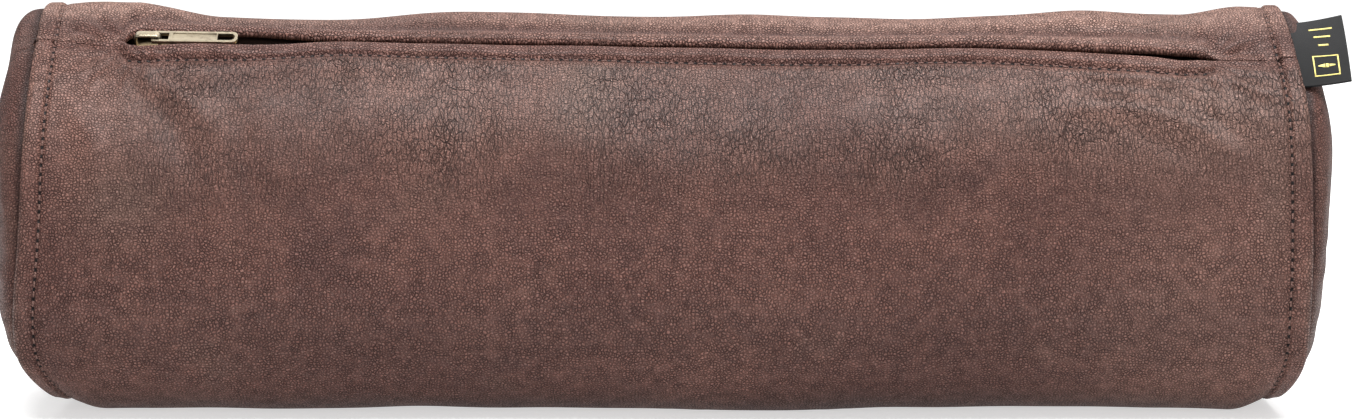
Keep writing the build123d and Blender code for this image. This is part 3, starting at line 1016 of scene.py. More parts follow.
@dataclass
class Ridge:
    """The turned and topstitched band at each end seam, as a path of places along X and lifts."""

    width: float = 6.6 * MM
    rise: float = 0.85 * MM
    groove: float = 0.50 * MM
    roll: float = 2.1 * MM
    tuck: float = 4.2 * MM
    steps: int = 12

    def lift(self, from_seam: Array) -> Array:
        """Height of the flat of the band, and of the groove beside it, at distances from the seam.

        Args:
            from_seam: distances from the end seam, in metres.

        Returns:
            The heights, in metres.
        """
        band = self.rise * smoothstep(from_seam, self.width - 0.1 * MM, self.width - 1.7 * MM)
        band = band * (1.0 - 0.18 * hump(from_seam, self.width, 2.2 * MM))
        return band - self.groove * hump(from_seam, self.width, 0.75 * MM)

    def path(self) -> tuple[Array, Array]:
        """Places along the right half of the case and how far the leather is lifted at each.

        Returns:
            The places and the lifts, in metres.
        """
        last = (case.half_seam - self.roll) / MM
        plain = np.concatenate([
            np.arange(0.0, 130.0, 1.5),
            np.arange(130.0, 190.0, 1.05),
            np.arange(190.0, 196.4, 0.7),
            np.arange(196.4, last, 0.36),
        ]) * MM
        angles = np.radians(np.linspace(90.0, -55.0, self.steps))
        over = case.half_seam - self.roll + self.roll * np.cos(angles)
        top = self.lift(np.array([self.roll]))[0]
        places = np.concatenate([plain, over, [over[-1] - 1.1 * MM]])
        rolled = top - self.roll + self.roll * np.sin(angles)
        return places, np.concatenate([self.lift(case.half_seam - plain), rolled, [-self.tuck]])

    @property
    def stitch_x(self) -> float:
        """Place along the right half of the line of stitches."""
        return case.half_seam - self.width


@dataclass
class Mouth:
    """The gap between the lips, and the shape of their edges."""

    roll: float = 1.25 * MM
    hem: float = 8.0 * MM
    stitch_from_edge: float = 7.0 * MM
    closed_half_gap: float = 0.02 * MM
    front_gap: float = 0.62 * MM
    front_gap_by_pull: float = 2.0 * MM
    front_room_for_bail: float = 1.15 * MM
    back_gap: float = 0.72 * MM
    back_gap_by_pull: float = 4.6 * MM
    back_room_for_bail: float = 0.78 * MM
    bail_x: float = 166.5 * MM

    def half_gap(self, x: Array, side: Side) -> Array:
        """Distance of a lip's edge from the zip's centre line.

        Args:
            x: places along the case, in metres.
            side: front or back.

        Returns:
            The distances, in metres.
        """
        by_pull = smoothstep(x, -104.0 * MM, -138.0 * MM)
        right = smoothstep(x, 120.0 * MM, 155.0 * MM)
        if side is Side.FRONT:
            gap = self.front_gap + self.front_gap_by_pull * by_pull + 0.25 * MM * right
            for_bail = self.front_room_for_bail
        else:
            gap = self.back_gap + self.back_gap_by_pull * by_pull + 0.15 * MM * right
            for_bail = self.back_room_for_bail
        gap = gap + for_bail * hump(x, self.bail_x, 10.0 * MM)
        left_end = np.clip((x + case.half_mouth - 2.4 * MM) / (7.0 * MM), 0.0, 1.0)
        right_end = np.clip((case.half_mouth - x) / (5.0 * MM), 0.0, 1.0)
        rounding = np.sqrt(1.0 - (1.0 - left_end) ** 2) * np.sqrt(1.0 - (1.0 - right_end) ** 2)
        return np.maximum(gap * rounding, self.closed_half_gap)

    def open_share(self, x: Array) -> Array:
        """1 along the mouth and 0 where the seam beyond it is closed."""
        return smoothstep(np.abs(x), case.half_mouth + 2.0 * MM, case.half_mouth - 5.0 * MM)

    def edge(self, x: Array, side: Side) -> Array:
        """Arc length of a lip's edge."""
        return case.centre_line(x) + side.value * self.half_gap(x, side)

    def edge_lift(self, x: Array, off: Array, side: Side) -> Array:
        """How far a lip's leather stands out, by its distance off the edge.

        Args:
            x: places along the case, in metres.
            off: distances off the lip's edge, in metres.
            side: front or back.

        Returns:
            The heights, in metres.
        """
        share = self.open_share(x)
        by_pull = hump(x, -152.0 * MM, 26.0 * MM)
        if side is Side.FRONT:
            band = np.sin(np.pi * np.clip(off / self.stitch_from_edge, 0.0, 1.0))
            wave = 1.0 + 0.45 * np.sin(x / (9.0 * MM)) * np.sin(x / (23.0 * MM) + 1.0)
            puff = (0.95 * band * wave + 0.35 * hump(off, 0.0, 3.0 * MM)) * share
            puff = puff + by_pull * 0.9 * hump(off, 0.5 * MM, 4.5 * MM)
            groove = 0.85 * hump(off, self.stitch_from_edge, 1.1 * MM) * share
            after = 0.45 * hump(off, self.stitch_from_edge + 3.2 * MM, 2.4 * MM) * share
            return MM * (puff - groove + after)
        mid = (1.0 - 0.30 * by_pull) * (1.0 - 0.8 * smoothstep(x, 152.0 * MM, 166.0 * MM))
        roll = 1.5 * hump(off, 3.2 * MM, 3.0 * MM) * mid * share
        valley = 1.7 * hump(off, 10.5 * MM, 3.8 * MM) * share
        return MM * (roll - valley)


ridge = Ridge()
mouth = Mouth()


@dataclass
class Wrinkles:
    """Fine creases that run out from the two ends of the mouth."""

    reach: float = 19.0 * MM
    depth: float = 0.55 * MM
    spokes: int = 15
    fan_reach: float = 21.0 * MM
    fan_start: float = 3.0 * MM

    def fan(self, x: Array, s: Array) -> tuple[Array, Array]:
        """How strongly the finest creases show, and their direction from the nearer end, in radians.

        Args:
            x: places along the case, in metres.
            s: arc lengths from the zip line, in metres.

        Returns:
            The strengths, from 0 to 1, and the directions.
        """
        along = np.abs(x) - case.half_mouth - self.fan_start
        across = s - case.centre_line(x)
        far = np.hypot(along, across)
        patches = 0.55 + 0.6 * Ripples(37, 20.0 * MM)(x, s)
        strength = smoothstep(far, 3.0 * MM, 7.0 * MM) * np.exp(-((far / self.fan_reach) ** 2)) * patches
        return np.clip(strength, 0.0, 1.0), np.arctan2(across, along)

    def at(self, x: Array, s: Array) -> Array:
        """The creases' height at places on the skin, in metres.

        Args:
            x: places along the case, in metres.
            s: arc lengths from the zip line, in metres.

        Returns:
            The heights.
        """
        total = np.zeros(np.broadcast(x, s).shape)
        for end, strength in ((-1.0, 1.0), (1.0, 0.8)):
            along = (x - end * case.half_mouth) * end
            across = s - case.centre_line(x)
            far = np.hypot(along, across)
            angle = np.arctan2(across, along + 6.0 * MM)
            bend = Ripples(33, 12.0 * MM)(x, s)
            fan = np.sin(angle * self.spokes + bend * 1.3 + far / (5.0 * MM))
            fade = smoothstep(far, 2.0 * MM, 6.0 * MM) * np.exp(-((far / self.reach) ** 2))
            total += strength * fan * fade
        return total * self.depth


@dataclass(frozen=True)
class Fold:
    """A soft fold of the front: a straight crest between two places on the unrolled skin."""

    start: tuple[float, float]
    end: tuple[float, float]
    height: float
    width: float

    def at(self, x: Array, s: Array) -> Array:
        """The fold's height at places on the skin, all in metres.

        Args:
            x: places along the case, in metres.
            s: arc lengths from the zip line, in metres.

        Returns:
            The heights.
        """
        (x0, s0), (x1, s1) = self.start, self.end
        long = math.hypot(x1 - x0, s1 - s0)
        ex, es = (x1 - x0) / long, (s1 - s0) / long
        along = (x - x0) * ex + (s - s0) * es
        sway = 0.15 * long * np.sin(along / long * np.pi) * np.sin(x0 * 40.0)
        across = ((s - s0) * ex - (x - x0) * es - sway) / self.width
        ends = smoothstep(along, -0.2 * long, 0.25 * long) * smoothstep(along, 1.2 * long, 0.7 * long)
        return self.height * np.exp(-(across**2)) * ends


FOLDS = (
    Fold((-0.176, 0.010), (-0.140, 0.040), 0.9 * MM, 5.0 * MM),
    Fold((-0.168, 0.020), (-0.148, 0.058), -0.8 * MM, 5.5 * MM),
    Fold((-0.190, 0.026), (-0.182, 0.062), 0.7 * MM, 4.0 * MM),
    Fold((-0.128, 0.018), (-0.118, 0.058), 0.5 * MM, 6.0 * MM),
    Fold((0.134, 0.018), (0.184, 0.040), -0.8 * MM, 4.0 * MM),
    Fold((0.128, 0.026), (0.186, 0.050), 0.9 * MM, 5.0 * MM),
    Fold((0.150, 0.034), (0.190, 0.062), -0.6 * MM, 4.5 * MM),
    Fold((0.170, 0.008), (0.194, 0.022), 0.6 * MM, 3.5 * MM),
    Fold((0.193, 0.060), (0.195, 0.110), 0.7 * MM, 3.0 * MM),
    Fold((-0.193, 0.070), (-0.195, 0.120), 0.6 * MM, 3.0 * MM),
)


@dataclass
class SkinMasks:
    """Where one side's leather is crackled, waxed, worn, dusty and lightened by painted highlight, darkened
    by painted shade, and stitched.
    """

    x: Array
    s: Array
    off: Array
    side: Side
    top: float = -34.0 * MM
    past: Array = field(init=False)
    drift: Array = field(init=False)

    def __post_init__(self) -> None:
        """Works out the distance past the lip's stitches, and drifts that the masks share."""
        self.past = self.off - mouth.stitch_from_edge
        self.drift = Ripples(55, 42.0 * MM, 1.5)(self.x, self.s)

    @property
    def front(self) -> bool:
        """Whether this is the front."""
        return self.side is Side.FRONT

    def crackle(self) -> Array:
        """The crackled upper front, and a little of the back.

        Returns:
            The mask.
        """
        if not self.front:
            return 0.35 * smoothstep(Ripples(58, 60.0 * MM)(self.x, self.s), 0.1, 0.9)
        upper = smoothstep(self.past, 0.5 * MM, 3.0 * MM) * smoothstep(self.s, 78.0 * MM, 24.0 * MM)
        return upper * smoothstep(self.x, -200.0 * MM, -150.0 * MM) * (0.85 + 0.45 * self.drift)

    def wax(self) -> Array:
        """A band of wax on the front, patches near the ends and underneath, and a bloom on top.

        Returns:
            The mask.
        """
        x, s, drift = self.x, self.s, self.drift
        band = hump(x + 0.16 * s, -22.0 * MM, 11.0 * MM) * smoothstep(s, 6.0 * MM, 12.0 * MM)
        wax = 0.55 * band * smoothstep(s, 44.0 * MM, 20.0 * MM)
        wax = wax + 0.40 * hump(x, -172.0 * MM, 16.0 * MM) * hump(s, 58.0 * MM, 14.0 * MM)
        wax = wax + 0.35 * hump(x, 193.0 * MM, 5.0 * MM) * hump(s, 58.0 * MM, 18.0 * MM)
        below = 0.5 + 0.5 * Ripples(61, 50.0 * MM)(x, s)
        wax = wax + 0.30 * smoothstep(s, 120.0 * MM, 160.0 * MM) * below
        wax = wax + 0.45 * hump(np.abs(x), 205.0 * MM, 2.5 * MM) * smoothstep(drift, -0.2, 0.6)
        on_top = smoothstep(Ripples(63, 70.0 * MM)(x, s), -0.5, 0.7)
        return wax + 0.55 * hump(s, self.top, 15.0 * MM) * on_top

    def worn(self) -> Array:
        """The lip's edge, the end ridges and the top, where hands rub.

        Returns:
            The mask.
        """
        worn = 0.55 * hump(self.off, 0.0, 2.2 * MM) * mouth.open_share(self.x)
        on_ridge = hump(np.abs(self.x), 201.8 * MM, 2.0 * MM)
        worn = worn + 0.5 * on_ridge * smoothstep(self.drift, -0.4, 0.8)
        return worn + 0.35 * hump(self.s, self.top, 34.0 * MM) * (0.6 + 0.4 * self.drift)

    def bloom(self) -> Array:
        """The dusty bloom of the upper front and of the top, partly a painted highlight: lighter on the top
        behind the mouth, on the upper front and towards the right end.

        Returns:
            The mask.
        """
        x, s = self.x, self.s
        if self.front:
            bloom = 0.40 * smoothstep(s, 60.0 * MM, 20.0 * MM) * smoothstep(self.past, -1.0 * MM, 3.0 * MM)
            bloom = bloom * (1.0 - 0.45 * hump(x, -125.0 * MM, 50.0 * MM))
            bloom = bloom + 0.10 * smoothstep(self.past, 1.0 * MM, -3.0 * MM)
        else:
            bloom = 0.95 * smoothstep(self.off, 9.0 * MM, 16.0 * MM)
            bloom = bloom + 0.45 * hump(self.off, 3.5 * MM, 3.0 * MM)
            bloom = bloom * smoothstep(s, -120.0 * MM, -60.0 * MM)
            bloom = bloom * (1.0 + 0.25 * smoothstep(x, 0.0, 120.0 * MM))
        uneven = 0.85 + 0.35 * Ripples(67, 60.0 * MM)(x, s)
        return bloom * uneven + 0.22 * hump(x, 170.0 * MM, 40.0 * MM)

    def crevice(self) -> Array:
        """Painted shade in the closed seams, along the end seams' roll and stitch groove, in the lip's groove
        and in the valley behind the mouth.

        Returns:
            The mask.
        """
        x, off = self.x, self.off
        crevice = 0.75 * smoothstep(np.abs(x), 204.2 * MM, 206.4 * MM)
        crevice = crevice + 0.8 * hump(off, 0.0, 0.35 * MM) * (1.0 - mouth.open_share(x))
        if self.front:
            crevice = crevice + 0.30 * hump(self.past, 0.0, 0.8 * MM) * mouth.open_share(x)
        else:
            crevice = crevice + 0.30 * hump(off, 11.0 * MM, 4.5 * MM) * (0.7 + 0.3 * self.drift)
        return crevice + 0.25 * hump(np.abs(x), ridge.stitch_x, 0.8 * MM)

    def stitch_line(self) -> tuple[Array, Array]:
        """The nearest line of stitches.

        Returns:
            The distance off it and the place along it, in metres.
        """
        from_seam = np.abs(np.abs(self.x) - ridge.stitch_x)
        from_lip = np.abs(self.past) + (0.0 if self.front else 1.0)
        along_lip = (from_lip < from_seam) & (np.abs(self.x) < case.half_mouth - 3.0 * MM)
        return np.where(along_lip, from_lip, from_seam), np.where(along_lip, self.x, self.s)


@dataclass
class LeatherWrap:
    """The main panel: leather from each lip of the mouth down to the underside, ridges and all."""

    thickness: float = 0.9 * MM
    fan_on_back: float = 0.5
    wrinkles: Wrinkles = field(default_factory=Wrinkles)

    def across(self, side: Side) -> tuple[Array, Array, Array]:
        """The path round the case from the hem to the underside.

        Args:
            side: which lip it starts at.

        Returns:
            For each row its kind (0 hem, 1 roll, 2 outer), its distance off the edge and its inset.
        """
        r = mouth.roll
        hem = np.linspace(mouth.hem, r, 5)[:-1]
        turn = np.linspace(np.pi / 2, -np.pi / 2, 11)
        fine = np.arange(r / MM, 13.0, 0.62) * MM
        reach = case.reach(side)
        middle = np.arange(13.0, 62.0, 1.15) * MM
        rest = np.linspace(62.0 * MM, reach, int((reach - 62.0 * MM) / (1.75 * MM)))
        outer = np.concatenate([fine[1:], middle, rest])
        kind = np.concatenate([np.zeros(len(hem)), np.ones(len(turn)), np.full(len(outer), 2.0)])
        off = np.concatenate([hem, r - r * np.cos(turn), outer])
        inset = np.concatenate([np.full(len(hem), 2 * r), r + r * np.sin(turn), np.zeros(len(outer))])
        return kind, off, inset

    def build_side(self, side: Side) -> bpy.types.Object:
        """The leather of one side over the whole length, as a solid shell.

        Args:
            side: front or back.

        Returns:
            The piece, with its masks stored.
        """
        places, lifts = ridge.path()
        xs = np.concatenate([-places[:0:-1], places])
        raised = np.concatenate([lifts[:0:-1], lifts])
        kind, off, inset = self.across(side)
        piece, column, row = grid(f"leather_{side.word}", len(xs), len(off))
        x, lift, off, inset = xs[column], raised[column], off[row], inset[row]
        kind = kind[row]

        share = mouth.open_share(x)
        tight = 0.45 * MM / mouth.roll
        scale = share + (1.0 - share) * tight
        near = smoothstep(off, 14.0 * MM, 4.0 * MM)
        edge = mouth.edge(x, side)
        reach = case.reach(side)
        # The row's distance is spread so that the last row meets the other side's, wherever the edge is.
        spare = side.value * edge
        spread = off - spare * (off / reach) ** 2
        flange = 1.0 - share
        shrunk = off * (1 - near) + off * scale * near
        spread = spread - off + np.where(kind < 2, off * scale, shrunk)
        sunk = inset * scale
        hem_sunk = 2.0 * MM + off * 0.4
        spread = np.where(kind == 0, spread * (1 - flange) + 0.3 * MM * flange, spread)
        sunk = np.where(kind == 0, sunk * (1 - flange) + hem_sunk * flange, sunk)
        s = edge + side.value * spread

        bulge = mouth.edge_lift(x, off, side) * smoothstep(np.abs(x), 199.0 * MM, 194.0 * MM)
        bulge = bulge + self.wrinkles.at(x, s) * smoothstep(off, 0.5 * MM, 3.0 * MM)
        if side is Side.FRONT:
            calm = smoothstep(off, 6.0 * MM, 11.0 * MM) * smoothstep(np.abs(x), 198.5 * MM, 195.0 * MM)
            bulge = bulge + sum(fold.at(x, s) for fold in FOLDS) * calm
        set_coordinates(piece, case.skin(x, s, sunk - lift - bulge))
        set_flat(piece, x, s)
        self.store_masks(piece, x, s, off, side)
        point_away(piece, CORE)
        thicken(piece, self.thickness)
        smooth(piece)
        return piece

    def store_masks(self, piece: bpy.types.Object, x: Array, s: Array, off: Array, side: Side) -> None:
        """Stores where the leather is crackled, waxed, worn, creased and stitched, and where painted
        highlight and painted shade go.

        Args:
            piece: one side's leather.
            x: places along the case, in metres.
            s: arc lengths from the zip line, in metres.
            off: distances off the lip's edge, in metres.
            side: front or back.
        """
        masks = SkinMasks(x, s, off, side)
        found = {
            "crackle": masks.crackle(),
            "wax": masks.wax(),
            "worn": masks.worn(),
            "bloom": masks.bloom(),
            "crevice": masks.crevice(),
        }
        for name, mask in found.items():
            store(piece, name, np.clip(mask, 0.0, 1.0))
        strength, turn = self.wrinkles.fan(x, s)
        share = 1.0 if masks.front else self.fan_on_back
        store(piece, "fan", strength * smoothstep(off, 1.0 * MM, 4.0 * MM) * share)
        store(piece, "fan_turn", turn)
        off_stitch, run = masks.stitch_line()
        store(piece, "off_stitch", off_stitch)
        store(piece, "stitch_run", run)

    def build(self, material: bpy.types.Material) -> None:
        """Builds both sides and cuts each at mid length.

        Args:
            material: the leather.
        """
        nodes = {
            Side.FRONT: {Half.LEFT: ("main_panel",), Half.RIGHT: ("front_lip",)},
            Side.BACK: {Half.LEFT: ("back_lip",), Half.RIGHT: ("main_panel",)},
        }
        for side in Side:
            case.halve(self.build_side(side), side, material, nodes[side])


@dataclass
class EndPanel:
    """One domed end: leather that swells out of the end seam, with its edge tucked in."""

    half: Half
    rise: float = 13.5 * MM
    seam_inset: float = 2.8 * MM
    rim: float = 7.0 * MM
    thickness: float = 1.2 * MM
    middle_z: float = 71.0 * MM
    fullness: dict[Half, float] = field(default_factory=lambda: {Half.LEFT: 0.50, Half.RIGHT: 0.34})
    right_share: float = 0.84
    # Painted shade over each whole end panel, stronger on the right.
    panel_shade: dict[Half, float] = field(default_factory=lambda: {Half.LEFT: 0.06, Half.RIGHT: 0.20})
    tuck_rows: int = 4
    rings: int = 46
    around: int = 300

    def build(self, material: bpy.types.Material) -> None:
        """Builds the panel and lets it ride on the case.

        Args:
            material: the leather.
        """
        piece, column, row = grid(f"end_panel_{self.half.word}_leather", self.around + 1, self.rings)
        s = column / self.around * case.outline.perimeter
        t = np.clip((row - self.tuck_rows) / (self.rings - 1 - self.tuck_rows), 0.0, 1.0)
        angle = t * np.pi / 2
        end = self.half.value * np.full(len(s), case.half_seam - 0.6 * MM)
        full = smoothstep(case.skin(end, s, np.zeros(len(s)))[:, 2], 30.0 * MM, 95.0 * MM)
        base = case.skin(end, s, self.seam_inset - 1.6 * MM * full)
        full = full * smoothstep(t, 1.0, 0.55)
        share = np.cos(angle) ** (1.0 - self.fullness[self.half] * full)
        share = np.where(row == self.rings - 1, 0.0, share)
        rise = self.rise * (1.0 if self.half is Half.LEFT else self.right_share)
        height = base[:, 2] * share + self.middle_z * (1 - share)
        puff = rise * (0.62 + 0.38 * smoothstep(height, 0.0, 52.0 * MM))
        out = puff * np.sin(angle) ** (0.95 - 0.33 * full)
        tucked = np.clip((self.tuck_rows - row) / self.tuck_rows, 0.0, 1.0) * self.rim
        across, up = base[:, 1] * share, (base[:, 2] - self.middle_z) * share
        ripple = Ripples(71 + self.half.value, 46.0 * MM)(across, up)
        fine = 0.25 * Ripples(75, 9.0 * MM)(s, t * 0.05) * np.sin(2 * angle)
        out = out + MM * (0.9 * ripple * np.sin(angle) + fine * smoothstep(t, 0.55, 0.25))
        places = np.stack([base[:, 0] + self.half.value * (out - tucked), across, self.middle_z + up], -1)
        set_coordinates(piece, places)
        out_from = self.radii(places, column, row)
        turn = np.arctan2(base[:, 2] - self.middle_z, base[:, 1])
        set_flat(piece, out_from * np.cos(turn) + self.half.value, out_from * np.sin(turn))
        self.store_masks(piece, s, t, places)
        modify(piece, "WELD", merge_threshold=0.02 * MM)
        point_away(piece, CORE + np.array([case.half_seam * 0.5 * self.half.value, 0.0, 0.0]))
        thicken(piece, self.thickness)
        smooth(piece)
        dress(piece, material)
        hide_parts(f"end_panel_{self.half.word}")
        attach(piece, "case")
        log.info("%s: %d faces", piece.name, len(piece.data.polygons))

    def radii(self, places: Array, column: Array, row: Array) -> Array:
        """Distance of each vertex from the panel's middle, along the leather.

        Args:
            places: the vertices.
            column: each vertex's column.
            row: each vertex's row.

        Returns:
            The distances, in metres.
        """
        table = np.zeros((self.rings, self.around + 1, 3))
        table[row, column] = places
        steps = np.linalg.norm(np.diff(table, axis=0), axis=2)
        table_out = np.zeros((self.rings, self.around + 1))
        table_out[:-1] = steps[::-1].cumsum(axis=0)[::-1]
        return table_out[row, column]

    def store_masks(self, piece: bpy.types.Object, s: Array, t: Array, places: Array) -> None:
        """Stores the same masks as the main panel has.

        Args:
            piece: the panel.
            s: arc lengths from the zip line, in metres.
            t: 0 at the rim to 1 at the middle.
            places: the vertices.
        """
        for name in ("fan", "fan_turn", "bloom"):
            store(piece, name, np.zeros(len(s)))
        drift = Ripples(81 + self.half.value, 40.0 * MM)(places[:, 1], places[:, 2])
        store(piece, "crackle", np.clip(0.30 * drift, 0.0, 1.0))
        low = smoothstep(places[:, 2], 80.0 * MM, 20.0 * MM)
        store(piece, "wax", np.clip(0.40 * low + 0.2 * drift, 0.0, 1.0))
        store(piece, "worn", np.clip(0.35 * drift + 0.2 * hump(t, 0.25, 0.15), 0.0, 1.0))
        # Painted shade: the whole panel darkened a little, the right one more, and its tucked rim much more.
        crevice = self.panel_shade[self.half] + 0.85 * hump(t, 0.0, 0.05)
        store(piece, "crevice", np.clip(crevice, 0.0, 1.0))
        store(piece, "off_stitch", np.ones(len(s)))
        store(piece, "stitch_run", s)


# ------------------------------------------------------------------ stitches


@dataclass
class StitchRow:
    """A row of stitches that lie on the skin, each a short thread that dives at both ends."""

    name: str
    node: str
    length: float = 2.35 * MM
    radius: float = 0.30 * MM
    dive: float = 0.55 * MM
    unevenness: float = 0.05
    sides: int = 6
    rings: int = 7

    def build(
        self,
        centres: Array,
        along: Array,
        outward: Array,
        material: bpy.types.Material,
        mount: Callable[[bpy.types.Object], None],
    ) -> None:
        """mount: what is done to the piece last: attaching it to its body, or baking its transform.
        """
        one, column, row = grid("stitch", self.sides + 1, self.rings)
        t = row / (self.rings - 1)
        around = column / self.sides * 2 * np.pi
        thick = self.radius * np.sqrt(np.clip(1.0 - (2 * t - 1) ** 4, 0.0, 1.0))
        a = (t - 0.5) * self.length
        b = thick * np.cos(around)
        c = thick * np.sin(around) - self.dive * (2 * t - 1) ** 4
        set_coordinates(one, np.stack([a, b, c], -1))
        modify(one, "WELD", merge_threshold=0.01 * MM)
        shape = coordinates(one)
        faces = [tuple(p.vertices) for p in one.data.polygons]
        bpy.data.objects.remove(one)
        side = np.cross(outward, along)
        rng = np.random.default_rng(len(centres))
        turn = rng.normal(0.0, self.unevenness, len(centres))[:, None]
        along = along + turn * side
        side = np.cross(outward, along)
        points = (
            centres[:, None]
            + shape[None, :, :1] * along[:, None]
            + shape[None, :, 1:2] * side[:, None]
            + shape[None, :, 2:] * outward[:, None]
        )
        piece = copies(self.name, points, faces)
        smooth(piece)
        dress(piece, material)
        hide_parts(self.node)
        mount(piece)
        log.info("%s: %d stitches", self.name, len(centres))


def on_skin(x: Array, s: Array, lift: Array) -> tuple[Array, Array, Array, Array]:
    """Points on the skin with its directions.

    Args:
        x: places along the case.
        s: arc lengths from the zip line.
        lift: heights above the plain skin.

    Returns:
        The points, the direction along the case, the direction round it and the normal.
    """
    step = 0.5 * MM
    here = case.skin(x, s, -lift)
    along = case.skin(x + step, s, -lift) - case.skin(x - step, s, -lift)
    around = case.skin(x, s + step, -lift) - case.skin(x, s - step, -lift)
    along /= np.linalg.norm(along, axis=1, keepdims=True)
    around /= np.linalg.norm(around, axis=1, keepdims=True)
    outward = np.cross(around, along)
    from_core = (here - CORE) * np.array([0.0, 1.0, 1.0])
    outward *= np.sign((outward * from_core).sum(1))[:, None]
    return here, along, around, outward


@dataclass
class Stitching:
    """Every row of stitches on the case."""

    pitch: float = STITCH_PITCH
    end_depth: float = 0.36 * MM
    lip_depth: float = 0.62 * MM

    def build(self) -> None:
        """Builds the end seams' rows and the front lip's."""
        thread = THREAD.make()
        for half in Half:
            s = np.arange(0.5, int(case.outline.perimeter / self.pitch)) * self.pitch
            middle = np.zeros(len(s))
            s = s[case.skin(middle, s, middle)[:, 2] > 1.2 * MM]
            x = np.full(len(s), half.value * ridge.stitch_x)
            here, _, around, outward = on_skin(x, s, np.full(len(s), -self.end_depth))
            row = StitchRow(f"end_seam_stitches_{half.word}", f"end_stitches_{half.word}")
            row.build(here, around, outward, thread, lambda piece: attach(piece, "case"))
        for half in Half:
            first = np.arange(0.5, case.half_mouth / self.pitch) * self.pitch * half.value
            x = first[np.abs(first) < case.half_mouth - 4.0 * MM]
            s = mouth.edge(x, Side.FRONT) + mouth.stitch_from_edge
            here, along, _, outward = on_skin(x, s, np.full(len(x), -self.lip_depth))
            row = StitchRow(f"lip_stitches_{half.word}", "front_lip_stitches")
            bend = partial(case.follow_mouth, side=Side.FRONT, half=half)
            row.build(here, along, outward, thread, bend)


# ------------------------------------------------------------------ lining, tapes and teeth


@dataclass
class Lining:
    """The cotton inside: a sheet behind each side of the wrap and a disc behind each end."""

    inset: float = 3.6 * MM
    thickness: float = 0.5 * MM
    first: float = 12.8 * MM
    columns: int = 181
    rows: int = 84
    from_seam: float = 8.0 * MM
    end_inset: float = 6.0 * MM
    end_from_seam: float = 8.5 * MM
    end_rise: float = 10.0 * MM
    end_middle_z: float = 62.0 * MM

    def build(self) -> None:
        """Builds the four sheets and the two end discs."""
        cotton = LINING.make()
        for side in Side:
            nodes = {Half.LEFT: ("main_lining", f"{side.word}_lip_lining"), Half.RIGHT: ("main_lining",)}
            case.halve(self.build_side(side), side, cotton, nodes)
        for half in Half:
            self.build_end(half, cotton)

    def build_side(self, side: Side) -> bpy.types.Object:
        """One sheet, from the zip tape down to the underside.

        Args:
            side: front or back.

        Returns:
            The sheet over the whole length.
        """
        reach = case.reach(side)
        half_length = case.half_seam - self.from_seam
        xs = np.linspace(-half_length, half_length, self.columns)
        piece, column, row = grid(f"lining_{side.word}", self.columns, self.rows)
        x = xs[column]
        share = row / (self.rows - 1)
        start = case.centre_line(x) + side.value * self.first
        s = start + (side.value * reach - start) * share
        folds = Ripples(91 + side.value, 26.0 * MM, 0.5)(x, s) * smoothstep(share, 0.02, 0.2)
        inset = self.inset + 0.7 * MM * folds + 0.5 * MM
        set_coordinates(piece, case.skin(x, s, inset))
        set_flat(piece, x, s)
        point_away(piece, CORE)
        thicken(piece, self.thickness)
        smooth(piece)
        return piece

    def build_end(self, half: Half, cotton: bpy.types.Material) -> None:
        """The disc behind one end panel, which sits a little slack in its dome.

        Args:
            half: which end.
            cotton: the lining cloth.
        """
        around, rings = 160, 20
        piece, column, row = grid(f"lining_end_{half.word}", around + 1, rings)
        s = column / around * case.outline.perimeter
        share = np.cos(row / (rings - 1) * np.pi / 2)
        end = half.value * np.full(len(s), case.half_seam - self.end_from_seam)
        base = case.skin(end, s, np.full(len(s), self.end_inset))
        places = base.copy()
        places[:, 1] *= share
        places[:, 2] = self.end_middle_z + (base[:, 2] - self.end_middle_z) * share
        slack = Ripples(97, 38.0 * MM)(places[:, 1], places[:, 2])
        rise = self.end_rise * np.sqrt(1.0 - share**2) + 0.8 * MM * slack * (1.0 - share)
        places[:, 0] += half.value * rise
        set_coordinates(piece, places)
        set_flat(piece, places[:, 1], places[:, 2])
        modify(piece, "WELD", merge_threshold=0.02 * MM)
        point_away(piece, CORE + np.array([case.half_seam * 0.5 * half.value, 0.0, 0.0]))
        thicken(piece, self.thickness)
        smooth(piece)
        dress(piece, cotton)
        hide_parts(f"end_lining_{half.word}")
        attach(piece, "case")
        log.info("%s: %d faces", piece.name, len(piece.data.polygons))


def in_zip(x: Array, w: Array, n: Array) -> Array:
    """Points of the zip's own frame: along it, towards the back and out of the leather.

    Args:
        x: distances along the zip from its middle.
        w: distances towards the back.
        n: heights above the leather.

    Returns:
        The points in the case's frame.
    """
    axes = (np.array(case.run), -np.array(case.forward), np.array(case.out))
    parts = [np.asarray(v)[..., None] * axis for v, axis in zip((x, w, n), axes)]
    return np.array(case.zip_middle) + parts[0] + parts[1] + parts[2]


